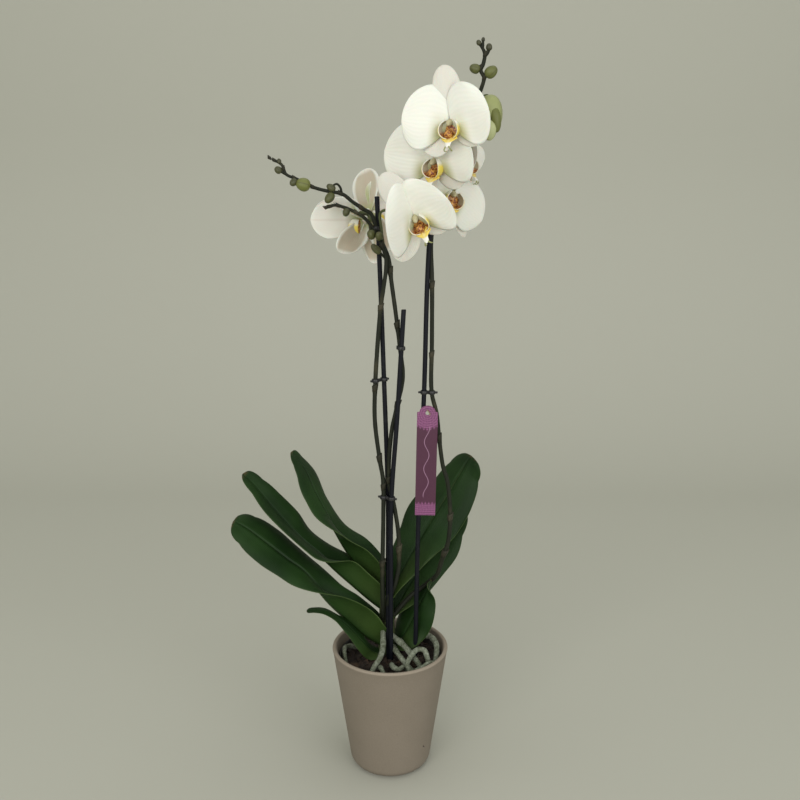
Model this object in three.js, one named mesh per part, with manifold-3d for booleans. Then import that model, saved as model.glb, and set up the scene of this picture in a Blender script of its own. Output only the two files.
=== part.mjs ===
// A potted moth orchid: a tapered cover pot with a nursery pot inside it, bark, aerial roots,
// seven leaves, three flower spikes tied to stakes, seven flowers and a plant tag.
// Millimetres, +Z up. The origin is the middle of the cover pot's underside.
// A viewer in front of the plant looks along +Y, with +X to the right.
import * as THREE from 'three';
import { mergeVertices } from 'three/addons/utils/BufferGeometryUtils.js';
import Module from 'manifold-3d';

const wasm = await Module();
wasm.setup();

// ---- driving dimensions ----
const GAP = 0.35;                 // clearance kept between neighbouring pieces
const POT_RIM_RADIUS = 65;
const POT_FOOT_RADIUS = 44.7;     // where the straight side would meet the ground
const POT_HEIGHT = 143;
const POT_WALL = 4.7;
const POT_FLOOR = 7;
const POT_FOOT_ROUND = 11;
const POT_SEGMENTS = 36;
const GROW_POT_RIM_Z = 132;
const GROW_POT_WALL = 1.5;
const BARK_TOP_Z = 127;
const CROWN = [-4, 14];           // where the short leafy stem stands, in plan
const CROWN_TOP_Z = 206;
const CROWN_RADIUS = 10.5;
const STAKE_RADIUS = 2.5;
const SPIKE_RADIUS = 2.3;
const CLIP_WALL = 1.5;
const CLIP_HEIGHT = 4;
const LEAF_THICKNESS = 2.4;
const PETAL_THICKNESS = 1.3;
const TAG_WIDTH = 22;
const TAG_THICKNESS = 1.2;
const TAG_TOP = 423;
const TAG_BOTTOM = 301;
const TAG_CENTRE = [33, -7.4];
const TAG_HOLE_RADIUS = 2.2;

// Flower outlines. A margin is a narrow claw, the share of the length where the blade is widest and how
// quickly it widens; half is the half width beyond its upper and its lower margin.
const SEPAL_MARGIN = { claw: 4, widest: 0.58, shoulder: 0.9 };
const SEPAL = {
  upper: SEPAL_MARGIN, lower: SEPAL_MARGIN, side: 1, across: 1, curl: 0.05, bow: 0.1, lift: -1.6,
};
const DORSAL_HALF = 16.5;
const LATERAL_HALF = 14.5;
const PETAL = {
  upper: { claw: 6, widest: 0.4, shoulder: 0.3 }, lower: { claw: 4.5, widest: 0.62, shoulder: 0.9 },
  across: 2, half: [33, 27], curl: 0.08, bow: 0.12,
};
const LEFT_PETAL_LIFT = 1.6;
const RIGHT_PETAL_LIFT = 3.4;

// The lip's parts as eggs: middle, half axes and the way each points, as right, up and forward.
const LIP = [
  { at: [0, 0, 7], half: [3.6, 3.4, 7], points: [0, -0.3, 1] },
  { at: [0, -8, 5], half: [8, 6, 4], points: [0, -0.3, 1] },
  { at: [0, -18, 12], half: [5.5, 2.2, 8.5], points: [0, -1, 0.9] },
  { at: [-7.6, -6, 8], half: [1.8, 7.5, 5.5], points: [-0.2, 0, 1] },
  { at: [7.6, -6, 8], half: [1.8, 7.5, 5.5], points: [0.2, 0, 1] },
];

// ---- small helpers ----
const vec = (p) => new THREE.Vector3(p[0], p[1], p[2]);
const degrees = THREE.MathUtils.degToRad;
const smooth = (t) => THREE.MathUtils.smoothstep(t, 0, 1);

// Turns a closed geometry into a manifold solid, facing outwards.
function solidFrom(geometry) {
  const bare = geometry.index ? geometry : mergeBare(geometry);
  const position = bare.getAttribute('position');
  const triangles = Uint32Array.from(bare.index.array);
  if (signedVolume(position, triangles) < 0) {
    for (let i = 0; i < triangles.length; i += 3) {
      [triangles[i], triangles[i + 1]] = [triangles[i + 1], triangles[i]];
    }
  }
  return new wasm.Manifold(new wasm.Mesh({
    numProp: 3,
    vertProperties: Float32Array.from(position.array),
    triVerts: triangles,
  }));
}

function mergeBare(geometry) {
  geometry.deleteAttribute('normal');
  geometry.deleteAttribute('uv');
  const merged = mergeVertices(geometry, 1e-4);
  const index = merged.index.array;
  const kept = [];
  for (let i = 0; i < index.length; i += 3) {
    const [a, b, c] = [index[i], index[i + 1], index[i + 2]];
    if (a !== b && b !== c && a !== c) kept.push(a, b, c);
  }
  merged.setIndex(kept);
  return merged;
}

function signedVolume(position, triangles) {
  const [a, b, c] = [new THREE.Vector3(), new THREE.Vector3(), new THREE.Vector3()];
  let sum = 0;
  for (let i = 0; i < triangles.length; i += 3) {
    a.fromBufferAttribute(position, triangles[i]);
    b.fromBufferAttribute(position, triangles[i + 1]);
    c.fromBufferAttribute(position, triangles[i + 2]);
    sum += a.dot(b.cross(c));
  }
  return sum;
}

// Skins a row of rings that all have the same number of points, and closes both ends. A thin ring goes
// out along one face and back along the other, so the second half is split the other way: both faces
// then fold along the same lines and can't cross where the sheet twists.
function loft(rings) {
  const count = rings[0].length;
  const points = rings.flat();
  const index = [];
  for (let r = 0; r + 1 < rings.length; r++) {
    for (let k = 0; k < count; k++) {
      const a = r * count + k;
      const b = r * count + (k + 1) % count;
      if (k < count / 2) index.push(a, b, b + count, a, b + count, a + count);
      else index.push(a, b, a + count, b, b + count, a + count);
    }
  }
  const last = (rings.length - 1) * count;
  for (const [start, flip] of [[0, true], [last, false]]) {
    for (let k = 1; k + 1 < count; k++) {
      index.push(start, start + (flip ? k + 1 : k), start + (flip ? k : k + 1));
    }
  }
  const geometry = new THREE.BufferGeometry().setFromPoints(points);
  geometry.setIndex(index);
  return solidFrom(geometry);
}

// A round stem, root or stake along a smooth line through the given points.
function stem(points, radiusAt, sides, steps) {
  const line = new THREE.CatmullRomCurve3(points.map(vec), false, 'centripetal');
  const frames = line.computeFrenetFrames(steps, false);
  const rings = [];
  for (let i = 0; i <= steps; i++) {
    const centre = line.getPointAt(i / steps);
    const radius = radiusAt(i / steps);
    rings.push(Array.from({ length: sides }, (_, k) => {
      const turn = (2 * Math.PI * k) / sides;
      return centre.clone()
        .addScaledVector(frames.normals[i], radius * Math.cos(turn))
        .addScaledVector(frames.binormals[i], radius * Math.sin(turn));
    }));
  }
  return loft(rings);
}

// An egg-shaped solid: three half-axes, pointing its long z axis along a direction.
function egg(centre, half, direction = [0, 0, 1], detail = [5, 4]) {
  const geometry = mergeBare(new THREE.SphereGeometry(1, detail[0], detail[1]));
  const turn = new THREE.Quaternion().setFromUnitVectors(
    new THREE.Vector3(0, 1, 0), vec(direction).normalize());
  geometry.applyMatrix4(new THREE.Matrix4().compose(
    vec(centre), turn, new THREE.Vector3(half[0], half[2], half[1])));
  return solidFrom(geometry);
}

// Upright round or oval post between two heights.
function post(x, y, rx, ry, z0, z1, sides = 10) {
  const geometry = mergeBare(new THREE.CylinderGeometry(1, 1, 1, sides));
  geometry.rotateX(Math.PI / 2);
  geometry.scale(rx, ry, z1 - z0);
  geometry.translate(x, y, (z0 + z1) / 2);
  return solidFrom(geometry);
}

// ---- pots and bark ----
function potRadiusAt(z) {
  return POT_FOOT_RADIUS + ((POT_RIM_RADIUS - POT_FOOT_RADIUS) * z) / POT_HEIGHT;
}

function turned(profile, segments) {
  const points = profile.map(([radius, z]) => new THREE.Vector2(radius, z));
  const geometry = mergeBare(new THREE.LatheGeometry(points, segments));
  geometry.rotateX(Math.PI / 2);
  return solidFrom(geometry);
}

// Points of a quarter round from one direction to another about a centre.
function round(cx, cz, radius, from, to, steps) {
  return Array.from({ length: steps + 1 }, (_, i) => {
    const turn = degrees(from + ((to - from) * i) / steps);
    return [cx + radius * Math.cos(turn), cz + radius * Math.sin(turn)];
  });
}

function coverPot() {
  const lean = THREE.MathUtils.radToDeg(Math.atan2(POT_RIM_RADIUS - POT_FOOT_RADIUS, POT_HEIGHT));
  const footCentre = potRadiusAt(POT_FOOT_ROUND) - POT_FOOT_ROUND / Math.cos(degrees(lean));
  const lip = POT_WALL / 2;
  return turned([
    [0, 0],
    ...round(footCentre, POT_FOOT_ROUND, POT_FOOT_ROUND, -90, -lean, 3),
    [potRadiusAt(POT_HEIGHT * 0.5), POT_HEIGHT * 0.5],
    ...round(POT_RIM_RADIUS - lip, POT_HEIGHT - lip, lip, 0, 180, 4),
    [potRadiusAt(POT_FLOOR + 6) - POT_WALL, POT_FLOOR + 6],
    [potRadiusAt(POT_FLOOR) - POT_WALL - 6, POT_FLOOR],
    [0, POT_FLOOR],
  ], POT_SEGMENTS);
}

const growPotRadiusAt = (z) => potRadiusAt(z) - POT_WALL - 1.2;

function growPot(grow) {
  const floor = POT_FLOOR + 1;
  const foot = floor + 8;
  return turned([
    [0, floor - grow],
    [growPotRadiusAt(foot) - 7, floor - grow],
    [growPotRadiusAt(foot) + grow, foot],
    [growPotRadiusAt(GROW_POT_RIM_Z) + grow, GROW_POT_RIM_Z + grow],
    [growPotRadiusAt(GROW_POT_RIM_Z) - GROW_POT_WALL - grow, GROW_POT_RIM_Z + grow],
    [growPotRadiusAt(foot) - GROW_POT_WALL - grow, foot],
    [growPotRadiusAt(foot) - GROW_POT_WALL - 7, floor + GROW_POT_WALL + grow],
    [0, floor + GROW_POT_WALL + grow],
  ], 24);
}

// Bark fills the nursery pot; its top is a lumpy crown of chips.
function barkMix() {
  const foot = POT_FLOOR + 1 + GROW_POT_WALL + 0.4;
  const rings = [];
  const sides = 16;
  const inside = (z) => growPotRadiusAt(z) - GROW_POT_WALL - 0.4;
  const levels = [
    [foot, (growPotRadiusAt(16) - GROW_POT_WALL - 8)],
    [foot + 8, inside(16) - 0.4],
    [BARK_TOP_Z - 5, inside(BARK_TOP_Z - 5)],
    [BARK_TOP_Z, 44],
    [BARK_TOP_Z, 28],
    [BARK_TOP_Z, 12],
  ];
  levels.forEach(([z, radius], level) => {
    const lumpy = level > 2;
    rings.push(Array.from({ length: sides }, (_, k) => {
      const turn = (2 * Math.PI * k) / sides;
      const lump = lumpy ? 2.2 * Math.sin(3 * turn + 2 * level) * Math.cos(5 * turn - level) : 0;
      return new THREE.Vector3(radius * Math.cos(turn), radius * Math.sin(turn), z + lump);
    }));
  });
  return loft(rings);
}

// ---- stakes, spikes and roots: [x, y, z] along each, from the bark upwards ----
const STAKES = {
  tall: [[-2, 0, 100], [-2.2, 1, 220], [-2, 2.5, 315], [-6.5, 2.8, 474], [-12, 3, 637]],
  short: [[1, -6, 100], [1.2, -7, 220], [1.8, -8.3, 315], [8, -8.3, 407], [15, -8, 524]],
  right: [[28, -2, 100], [31.4, -2, 298], [36.6, -2, 436], [39.2, -2, 554], [42.5, 0, 622]],
};

const SPIKES = [
  {
    line: [[-8, 8, 168], [-8, 0, 190], [-8.2, -3, 230], [-7, -4.2, 300], [-7, -4.2, 339],
      [-10.3, -4.5, 361], [-15.5, -4.5, 407], [-14.6, -4.5, 449], [-13, -4.5, 475],
      [-9, -4.8, 523], [-5.8, -6, 545], [-3, -7.6, 566], [-3.6, -8, 580], [-14.4, -8, 604],
      [-25, -8.5, 617], [-35, -9, 623], [-45, -9.5, 627], [-53, -10, 629], [-62, -10, 627]],
    tip: 1.2,
    buds: [
      { at: [-17.5, -9.5, 600], half: 4.4, from: [-19, -8.3, 611] },
      { at: [-9.5, -12.5, 599], half: 4.2, from: [-8, -8, 593] },
      { at: [-13, -12.5, 586], half: 3.8, long: 6.5, from: [-4.2, -8, 577] },
      { at: [-42.5, -10, 622], half: 3.8, from: [-41, -9.4, 626] },
      { at: [-52.5, -10, 632], half: 2.1, from: [-51, -10, 629] },
    ],
    pedicels: [{ flower: 5, from: [-29, -8.7, 620] }],
  },
  {
    line: [[-3, 5, 168], [-1.5, 0, 197], [5.5, -2, 217], [9.8, -2.5, 238], [10.1, -2.8, 256],
      [9.2, -2.9, 280], [4, -2.9, 314], [-0.6, -3, 336], [1.9, -3, 391], [6.8, -3, 415],
      [9.5, -2.8, 427], [14.2, -2.8, 453], [11.6, -2.8, 480], [6.4, -3, 523], [2.2, -3, 554],
      [0, -3, 574], [-4.7, -3, 587], [-11.5, -3.5, 601], [-17.6, -4.2, 620], [-25.3, -4.5, 625],
      [-36, -5, 632], [-46, -5, 639.5], [-63, -5, 643], [-74, -5, 646], [-92, -5, 654.5],
      [-102, -5, 659], [-106, -5, 668], [-116.4, -5, 674]],
    tip: 1.0,
    buds: [
      { at: [-109.5, -6, 663], half: 3.4, from: [-103, -5, 659] },
      { at: [-108.5, -5, 671.5], half: 2.2, from: [-108, -5, 669] },
      { at: [-94.5, -7, 651], half: 3.6, from: [-91, -5, 654] },
      { at: [-85, -7.5, 649], half: 6.6, from: [-76, -5, 646.5] },
      { at: [-56.5, -6, 646.5], half: 3.8, from: [-49.5, -5, 641] },
      { at: [-59, -7.5, 636], half: 4.8, from: [-55, -5, 641] },
    ],
    pedicels: [
      { flower: 6, from: [-15, -4, 612] },
      { flower: 3, from: [-5, -3, 588], via: [[-7.6, -4, 606], [-8, -5, 622]] },
    ],
  },
  {
    line: [[4, 14, 172], [22, 18, 192], [40, 16, 208], [52.5, 8, 224], [57.4, 3, 243],
      [64, -1, 267], [66, -2, 293], [65, -2.3, 315], [62, -2.5, 339], [57.5, -2.5, 354],
      [53.3, -2.5, 383], [50, -2.5, 413], [44.6, -2.5, 436], [44.4, -2.5, 490],
      [44, -2, 554], [43, 2, 594], [48, 8, 634], [60, 8, 672], [76, 6, 706], [86, 0, 728],
      [92.8, -3.8, 748]],
    twigs: [[[91.8, -3, 745.5], [92.8, -4, 750], [89.4, -4, 756.8], [91.6, -4, 762], [93.4, -4, 770.5],
      [88.5, -4, 779]]],
    tip: 1.7,
    buds: [
      { at: [83.5, -5, 758], half: 4.7, from: [89.6, -4, 756.5] },
      { at: [99.3, -6, 755], half: 6, from: [92.8, -4, 750] },
      { at: [87, -4, 781.6], half: 2.4, from: [88.5, -4, 779] },
      { at: [91.2, -4, 784.4], half: 1.8, from: [89.5, -4, 777.5] },
      { at: [97, -4, 777.5], half: 3.1, from: [93.3, -4, 770.5] },
      { at: [103, 2, 714], half: 11.5, long: 20, from: [83.5, 1.5, 722] },
    ],
    pedicels: [
      { flower: 1, from: [74, 5, 702] },
      { flower: 2, from: [57, 8, 668] },
      { flower: 4, from: [49, 8, 637] },
      { flower: 7, from: [67, 6, 688] },
    ],
  },
];

const ROOTS = [
  { radius: 3.6, line: [[2, 6, 150], [14, -6, 146], [25, -17, 138], [31, -26, 134], [38, -30, 124]] },
  { radius: 3.2, line: [[2, 4, 140], [10, -16, 138], [18, -28, 134], [28, -33, 124]] },
  { radius: 3.6, line: [[30, 22, 142], [45, 16, 144], [52, 2, 142], [52, -12, 136], [48, -22, 126]] },
  { radius: 3.0, line: [[42, -20, 128], [42, -25, 137], [38, -18, 145], [31, -18, 146], [24, -27, 144],
    [19, -37, 137], [24, -44, 134], [34, -42, 137], [42, -36, 139], [50, -26, 134]] },
  { radius: 3.0, line: [[2, -18, 124], [2, -28, 133], [5, -40, 136], [10, -43, 136], [15, -36, 135],
    [20, -32, 126]] },
  { radius: 3.2, line: [[-8, 6, 158], [-8, -14, 146], [-11, -28, 141], [-17, -38, 136], [-24, -46, 124]] },
  { radius: 2.8, line: [[-12, -26, 128], [-10, -38, 135], [-7, -47, 134], [-4, -49, 124]] },
  { radius: 2.6, line: [[-30, 22, 124], [-45, 12, 134], [-51, 2, 138], [-51, -10, 136], [-47, -22, 124]] },
];

// Each clip is a pair of rings that holds a spike to a stake at one height.
const CLIPS = [
  { stake: 'tall', spike: 0, z: 449 },
  { stake: 'short', spike: 0, z: 320 },
  { stake: 'short', spike: 1, z: 484 },
  { stake: 'right', spike: 2, z: 436 },
  { stake: 'tall', spike: 1, z: 606 },
];

function spikeRadius(spike, t) {
  const start = SPIKE_RADIUS + 0.5 * (1 - Math.min(1, t * 4));
  return THREE.MathUtils.lerp(start, spike.tip, smooth((t - 0.55) / 0.45));
}

// ---- leaves ----
// Stations along each keel, from the crown to the tip:
// [x, y, z, near blade angle, far blade angle, half width]. The angles are in degrees round the keel,
// from 0, level towards the viewer, through 90, straight up, to 180, level away.
const LEAVES = [
  { name: 'leaf_1', stations: [[-8, 8, 136, 84, 100, 20], [-30, 5, 152, 80, 104, 30],
    [-51, 0, 175, 80, 106, 30], [-71, -3, 198, 62, 112, 25], [-94, -5, 231, -6, 142, 25],
    [-114, -6, 248, -12, 139, 26], [-132, -7, 264, -18, 137, 26], [-155, -8, 284, -25, 135, 19],
    [-170, -8, 293, -15, 150, 1.5]] },
  { name: 'leaf_2', stations: [[-7, 12, 178, 85, 100, 18], [-24, 12, 192, 84, 105, 27],
    [-40, 12, 207, 84, 114, 28], [-59, 12, 225, 80, 128, 27], [-78, 11, 245, 24, 142, 23],
    [-95, 10, 261, 14, 140, 22], [-113, 8, 281, 12, 124, 23], [-132, 6, 306, 6, 122, 20],
    [-147, 5, 327, 6, 118, 14], [-160, 4, 343, 2, 130, 1.5]] },
  { name: 'leaf_3', stations: [[-6, 16, 186, 85, 100, 16], [-20, 18, 205, 84, 108, 26],
    [-32, 20, 222, 84, 114, 30], [-47, 23, 242, 78, 121, 28], [-60, 26, 264, 50, 150, 22],
    [-75, 28, 294, -4, 158, 20], [-85, 29, 314, -8, 153, 20], [-94, 30, 336, -8, 151, 18],
    [-103, 30, 351, -4, 150, 12], [-110, 30, 360, 10, 150, 1.5]] },
  { name: 'leaf_4', stations: [[-12, 4, 126, 50, 140, 10], [-22, 0, 134, -26, 146, 12],
    [-33, -4, 149, -26, 143, 12], [-46, -8, 167, -16, 153, 10], [-59, -10, 180, -4, 168, 7.5],
    [-72, -12, 189, -8, 165, 6], [-84, -13, 191, -8, 155, 4.5], [-92, -13, 190, -10, 150, 1.5]] },
  { name: 'leaf_5', stations: [[0, 18, 186, 50, 110, 14], [11, 24, 210, 28, 135, 20],
    [23, 30, 233, 8, 128, 26], [39, 36, 260, -10, 125, 31], [52, 42, 283, -30, 130, 33],
    [66, 47, 304, -34, 147, 32], [82, 52, 331, -38, 143, 22], [93, 55, 348, -10, 150, 1.5]] },
  { name: 'leaf_6', stations: [[4, 26, 160, 70, 115, 12], [14, 34, 180, 20, 120, 20],
    [25, 42, 198, -10, 130, 24], [40, 50, 219, -25, 130, 26], [56, 57, 240, -30, 130, 26],
    [70, 63, 259, -30, 135, 18], [84, 68, 281, -20, 140, 1.5]] },
  { name: 'leaf_7', stations: [[8, 14, 134, 30, 139, 14], [16, 13, 145, -20, 130, 21],
    [25, 12, 164, -48, 125, 24], [34, 10, 185, -50, 138, 22], [42, 8, 204, -45, 147, 13],
    [46, 6, 218, 10, 150, 1.5]] },
];

function stationCurve(stations) {
  const rows = stations[0].length;
  const at = (i) => stations[Math.max(0, Math.min(stations.length - 1, i))];
  return (t) => {
    const scaled = t * (stations.length - 1);
    const i = Math.min(stations.length - 2, Math.floor(scaled));
    const f = scaled - i;
    return Array.from({ length: rows }, (_, c) => {
      const [a, b, d, e] = [at(i - 1)[c], at(i)[c], at(i + 1)[c], at(i + 2)[c]];
      return 0.5 * (2 * b + (d - a) * f + (2 * a - 5 * b + 4 * d - e) * f * f
        + (3 * b - a - 3 * d + e) * f * f * f);
    });
  };
}

// One leaf: two flat halves that meet along the keel.
function leaf(stations, grow) {
  const steps = 14;
  const curve = stationCurve(stations);
  const nearRings = [];
  const farRings = [];
  for (let i = 0; i <= steps; i++) {
    const t = i / steps;
    const [x, y, z, near, far, half] = curve(t);
    const along = vec(curve(Math.min(1, t + 0.01))).sub(vec(curve(Math.max(0, t - 0.01)))).normalize();
    const level = new THREE.Vector3().crossVectors(along, new THREE.Vector3(0, 0, 1)).normalize();
    if (level.y > 0) level.negate();
    const up = new THREE.Vector3().crossVectors(level, along).normalize();
    if (up.z < 0) up.negate();
    const keel = new THREE.Vector3(x, y, z);
    const last = Math.max(0, t * (stations.length - 1) - (stations.length - 2));
    const blunt = last > 0 ? stations[stations.length - 2][5] * Math.sqrt(Math.max(0, 1 - last ** 2.2)) : 0;
    const width = Math.max(1.2, half, blunt);
    const thick = LEAF_THICKNESS * Math.min(1, 0.35 + width / 14);
    const section = (angle, outer) => {
      const towards = (turn) => level.clone().multiplyScalar(Math.cos(degrees(turn)))
        .addScaledVector(up, Math.sin(degrees(turn)));
      const corner = (reach, depth) => keel.clone().addScaledVector(towards(angle), reach)
        .addScaledVector(towards(angle + outer), depth);
      return [corner(-0.8 * thick - grow, -grow), corner(width + grow, -grow),
        corner(width + grow, thick * 0.4 + grow), corner(-0.8 * thick - grow, thick + grow)];
    };
    nearRings.push(section(near, -90));
    farRings.push(section(far, 90));
  }
  return loft(nearRings).add(loft(farRings));
}

// ---- flowers ----
// Each flower: centre, turn to the right, tilt up, roll to the viewer's left and size. A blade is
// [aim, length, fullness, bend, twist]: aim is clockwise from the flower's own up, bend is how far it
// leans forward and twist turns it about its own length. Petals and lateral sepals are listed left then
// right. Angles are in degrees.
const FLOWERS = [
  {
    at: [58, -48, 705], turn: -8, tilt: 0, roll: 4, size: 0.98, dorsal: [-3, 52, 0.84, 8],
    laterals: [[-137, 35, 1, 4], [122, 35, 0.8, 10]], petals: [[-81, 46, 1, 14], [79, 43, 1, 28]],
  },
  {
    at: [46, -20, 671], turn: -22, tilt: -4, roll: 2, size: 1.02, dorsal: [0, 50, 1, 4],
    laterals: [[-140, 40, 1, 4], [128, 34, 1, 4]], petals: [[-78, 51, 1.02, 10], [76, 45, 1, 22]],
  },
  {
    at: [25, -46, 619], turn: 10, tilt: -14, roll: 34, size: 1, dorsal: [-7, 53, 0.84, -40],
    laterals: [[-132, 46, 1, 2], [140, 36, 0.9, 2]], petals: [[-66, 46, 1.16, 47], [84, 41, 1.08, 34]],
  },
  {
    at: [63, 18, 640], turn: 38, tilt: -6, roll: -16, size: 1, dorsal: [0, 50, 1, 6],
    laterals: [[-158, 40, 1, 6], [136, 50, 0.55, 6]], petals: [[-80, 46, 1, 8], [108, 49, 0.82, 8]],
  },
  {
    at: [-28, 26, 613], turn: -84, tilt: 0, roll: -10, size: 1, dorsal: [0, 46, 1, 62],
    laterals: [[-144, 46, 1.25, 40], [144, 44, 1.25, 36, 52]],
    petals: [[-84, 56, 0.7, 78], [76, 56, 0.7, 78]],
  },
  {
    at: [-21, 36, 620], turn: 145, tilt: -4, roll: -12, size: 1.02, dorsal: [8, 49, 1.1, 18],
    laterals: [[-160, 43.7, 1, 18], [172, 52, 0.9, 14]], petals: [[-80, 46, 1, 50], [80, 46, 1, 50]],
  },
  {
    at: [79, 30, 674], turn: 80, tilt: -6, roll: 0, size: 0.9, dorsal: [0, 38, 0.8, 24],
    laterals: [[-140, 30, 0.8, 30], [140, 26, 0.8, 30]], petals: [[-80, 32, 0.62, 30], [80, 28, 0.5, 40]],
  },
];

function flowerFrame(flower) {
  const turn = degrees(flower.turn);
  const tilt = degrees(flower.tilt);
  const roll = degrees(flower.roll);
  const face = new THREE.Vector3(
    Math.sin(turn) * Math.cos(tilt), -Math.cos(turn) * Math.cos(tilt), Math.sin(tilt));
  const right0 = new THREE.Vector3(Math.cos(turn), Math.sin(turn), 0);
  const up0 = new THREE.Vector3().crossVectors(right0, face).negate();
  const up = up0.clone().multiplyScalar(Math.cos(roll)).addScaledVector(right0, -Math.sin(roll));
  const right = right0.clone().multiplyScalar(Math.cos(roll)).addScaledVector(up0, Math.sin(roll));
  return { face, up, right, centre: vec(flower.at), size: flower.size };
}

// Half width of a petal or sepal along its length: a narrow claw, then a rounded blade. A low
// shoulder power widens it quickly beyond the claw.
function bladeWidth(a, { widest, claw, shoulder }, half) {
  if (a < widest) return claw + (half - claw) * Math.sin((Math.PI / 2) * (a / widest)) ** shoulder;
  const past = (a - widest) / (1 - widest);
  return half * Math.sqrt(Math.max(0, 1 - past * past));
}

// One petal or sepal. upper and lower are the two margins' outlines, upper being the anticlockwise one
// where side is 1; lift is how far in front of the flower's middle it starts.
function blade(frame, [aim, length, fullness, bend, twist = 0], shape, grow) {
  const { half, upper, lower, side, across, curl, bow, lift } = shape;
  const stations = [0, 0.06, 0.24, 0.5, 0.76, 0.93, 0.995];
  const { face, up, right, centre, size } = frame;
  const along = up.clone().multiplyScalar(Math.cos(degrees(aim)))
    .addScaledVector(right, Math.sin(degrees(aim)));
  const over = right.clone().multiplyScalar(-Math.cos(degrees(aim)))
    .addScaledVector(up, Math.sin(degrees(aim))).multiplyScalar(side * Math.cos(degrees(twist)))
    .addScaledVector(face, Math.sin(degrees(twist)));
  const rings = stations.map((a) => {
    const reach = 1 + a * length * Math.cos(degrees(bend));
    const rise = lift + length * (a * Math.sin(degrees(bend)) - curl * a * a);
    const front = [];
    const back = [];
    for (let k = -across; k <= across; k++) {
      const b = k / across;
      const margin = b > 0 ? upper : lower;
      const width = bladeWidth(a, margin, (b > 0 ? half[0] : half[1]) * fullness) + grow;
      const out = rise - bow * b * b * width;
      const spot = centre.clone()
        .addScaledVector(along, reach * size)
        .addScaledVector(over, b * width * size);
      front.push(spot.clone().addScaledVector(face, out * size + grow));
      back.push(spot.clone().addScaledVector(face, out * size - PETAL_THICKNESS - grow));
    }
    return [...front, ...back.reverse()];
  });
  return loft(rings);
}

function sepals(flower, grow) {
  const frame = flowerFrame(flower);
  const { centre, face, size } = frame;
  let body = egg(centre.clone().addScaledVector(face, -2.6 * size).toArray(),
    [4.6 * size + grow, 4.6 * size + grow, 3.2 * size + grow], face.toArray());
  body = body.add(blade(frame, flower.dorsal, { ...SEPAL, half: [DORSAL_HALF, DORSAL_HALF] }, grow));
  for (const lateral of flower.laterals) {
    body = body.add(blade(frame, lateral, { ...SEPAL, half: [LATERAL_HALF, LATERAL_HALF] }, grow));
  }
  return body;
}

function petal(flower, side, grow) {
  const lift = side > 0 ? RIGHT_PETAL_LIFT : LEFT_PETAL_LIFT;
  return blade(flowerFrame(flower), flower.petals[side > 0 ? 1 : 0], { ...PETAL, side, lift }, grow);
}

// Column, two raised side lobes and the pointed middle lobe, grown as one piece.
function lip(flower) {
  const { centre, face, up, right, size } = flowerFrame(flower);
  const place = (r, u, f) => centre.clone().addScaledVector(right, r * size)
    .addScaledVector(up, u * size).addScaledVector(face, f * size).toArray();
  const direction = (r, u, f) => right.clone().multiplyScalar(r).addScaledVector(up, u)
    .addScaledVector(face, f).toArray();
  return LIP.map(({ at, half, points }) => egg(
    place(...at), half.map((axis) => axis * size), direction(...points),
  )).reduce((whole, body) => whole.add(body));
}

// ---- spikes with their buds and flower stalks ----
function spikeBody(spike, grow) {
  let body = stem(spike.line, (t) => spikeRadius(spike, t) + grow, 5,
    Math.round(spike.line.length * 1.3));
  for (const twig of spike.twigs ?? []) {
    body = body.add(stem(twig, () => spike.tip + grow, 5, twig.length * 2));
  }
  for (const bud of spike.buds) {
    const out = vec(bud.at).sub(vec(bud.from)).normalize();
    const middle = vec(bud.at).add(vec(bud.from)).multiplyScalar(0.5).toArray();
    body = body.add(stem([bud.from, middle, bud.at], () => 1.1 + grow, 4, 2));
    body = body.add(egg(bud.at, [bud.half + grow, bud.half + grow, (bud.long ?? bud.half) + grow],
      bud.long && bud.half > 5 ? [0.1, 0, -1] : out.toArray()));
  }
  for (const { flower, from, via = [] } of spike.pedicels) {
    const { centre, face, size } = flowerFrame(FLOWERS[flower - 1]);
    const end = centre.clone().addScaledVector(face, -6.6 * size - 0.4);
    const back = centre.clone().addScaledVector(face, -16 * size);
    const route = [from, ...via, back.toArray(), end.toArray()];
    body = body.add(stem(route, () => 1.5 + grow, 4, 5 + 3 * via.length));
  }
  return body;
}

function pointAtHeight(points, z) {
  const line = new THREE.CatmullRomCurve3(points.map(vec), false, 'centripetal');
  let best = line.getPointAt(0);
  for (let i = 0; i <= 400; i++) {
    const point = line.getPointAt(i / 400);
    if (Math.abs(point.z - z) < Math.abs(best.z - z)) best = point;
  }
  return best;
}

function clip({ stake, spike, z }) {
  const a = pointAtHeight(STAKES[stake], z);
  const b = pointAtHeight(SPIKES[spike].line, z);
  const low = z - CLIP_HEIGHT / 2;
  const high = z + CLIP_HEIGHT / 2;
  const rings = post(a.x, a.y, STAKE_RADIUS + GAP + CLIP_WALL, STAKE_RADIUS + GAP + CLIP_WALL, low, high)
    .add(post(b.x, b.y, SPIKE_RADIUS + GAP + CLIP_WALL, SPIKE_RADIUS + GAP + CLIP_WALL, low, high));
  const link = stem([[a.x, a.y, z], [(a.x + b.x) / 2, (a.y + b.y) / 2, z], [b.x, b.y, z]],
    () => CLIP_HEIGHT / 2 - 0.1, 6, 1);
  return rings.add(link);
}

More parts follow.
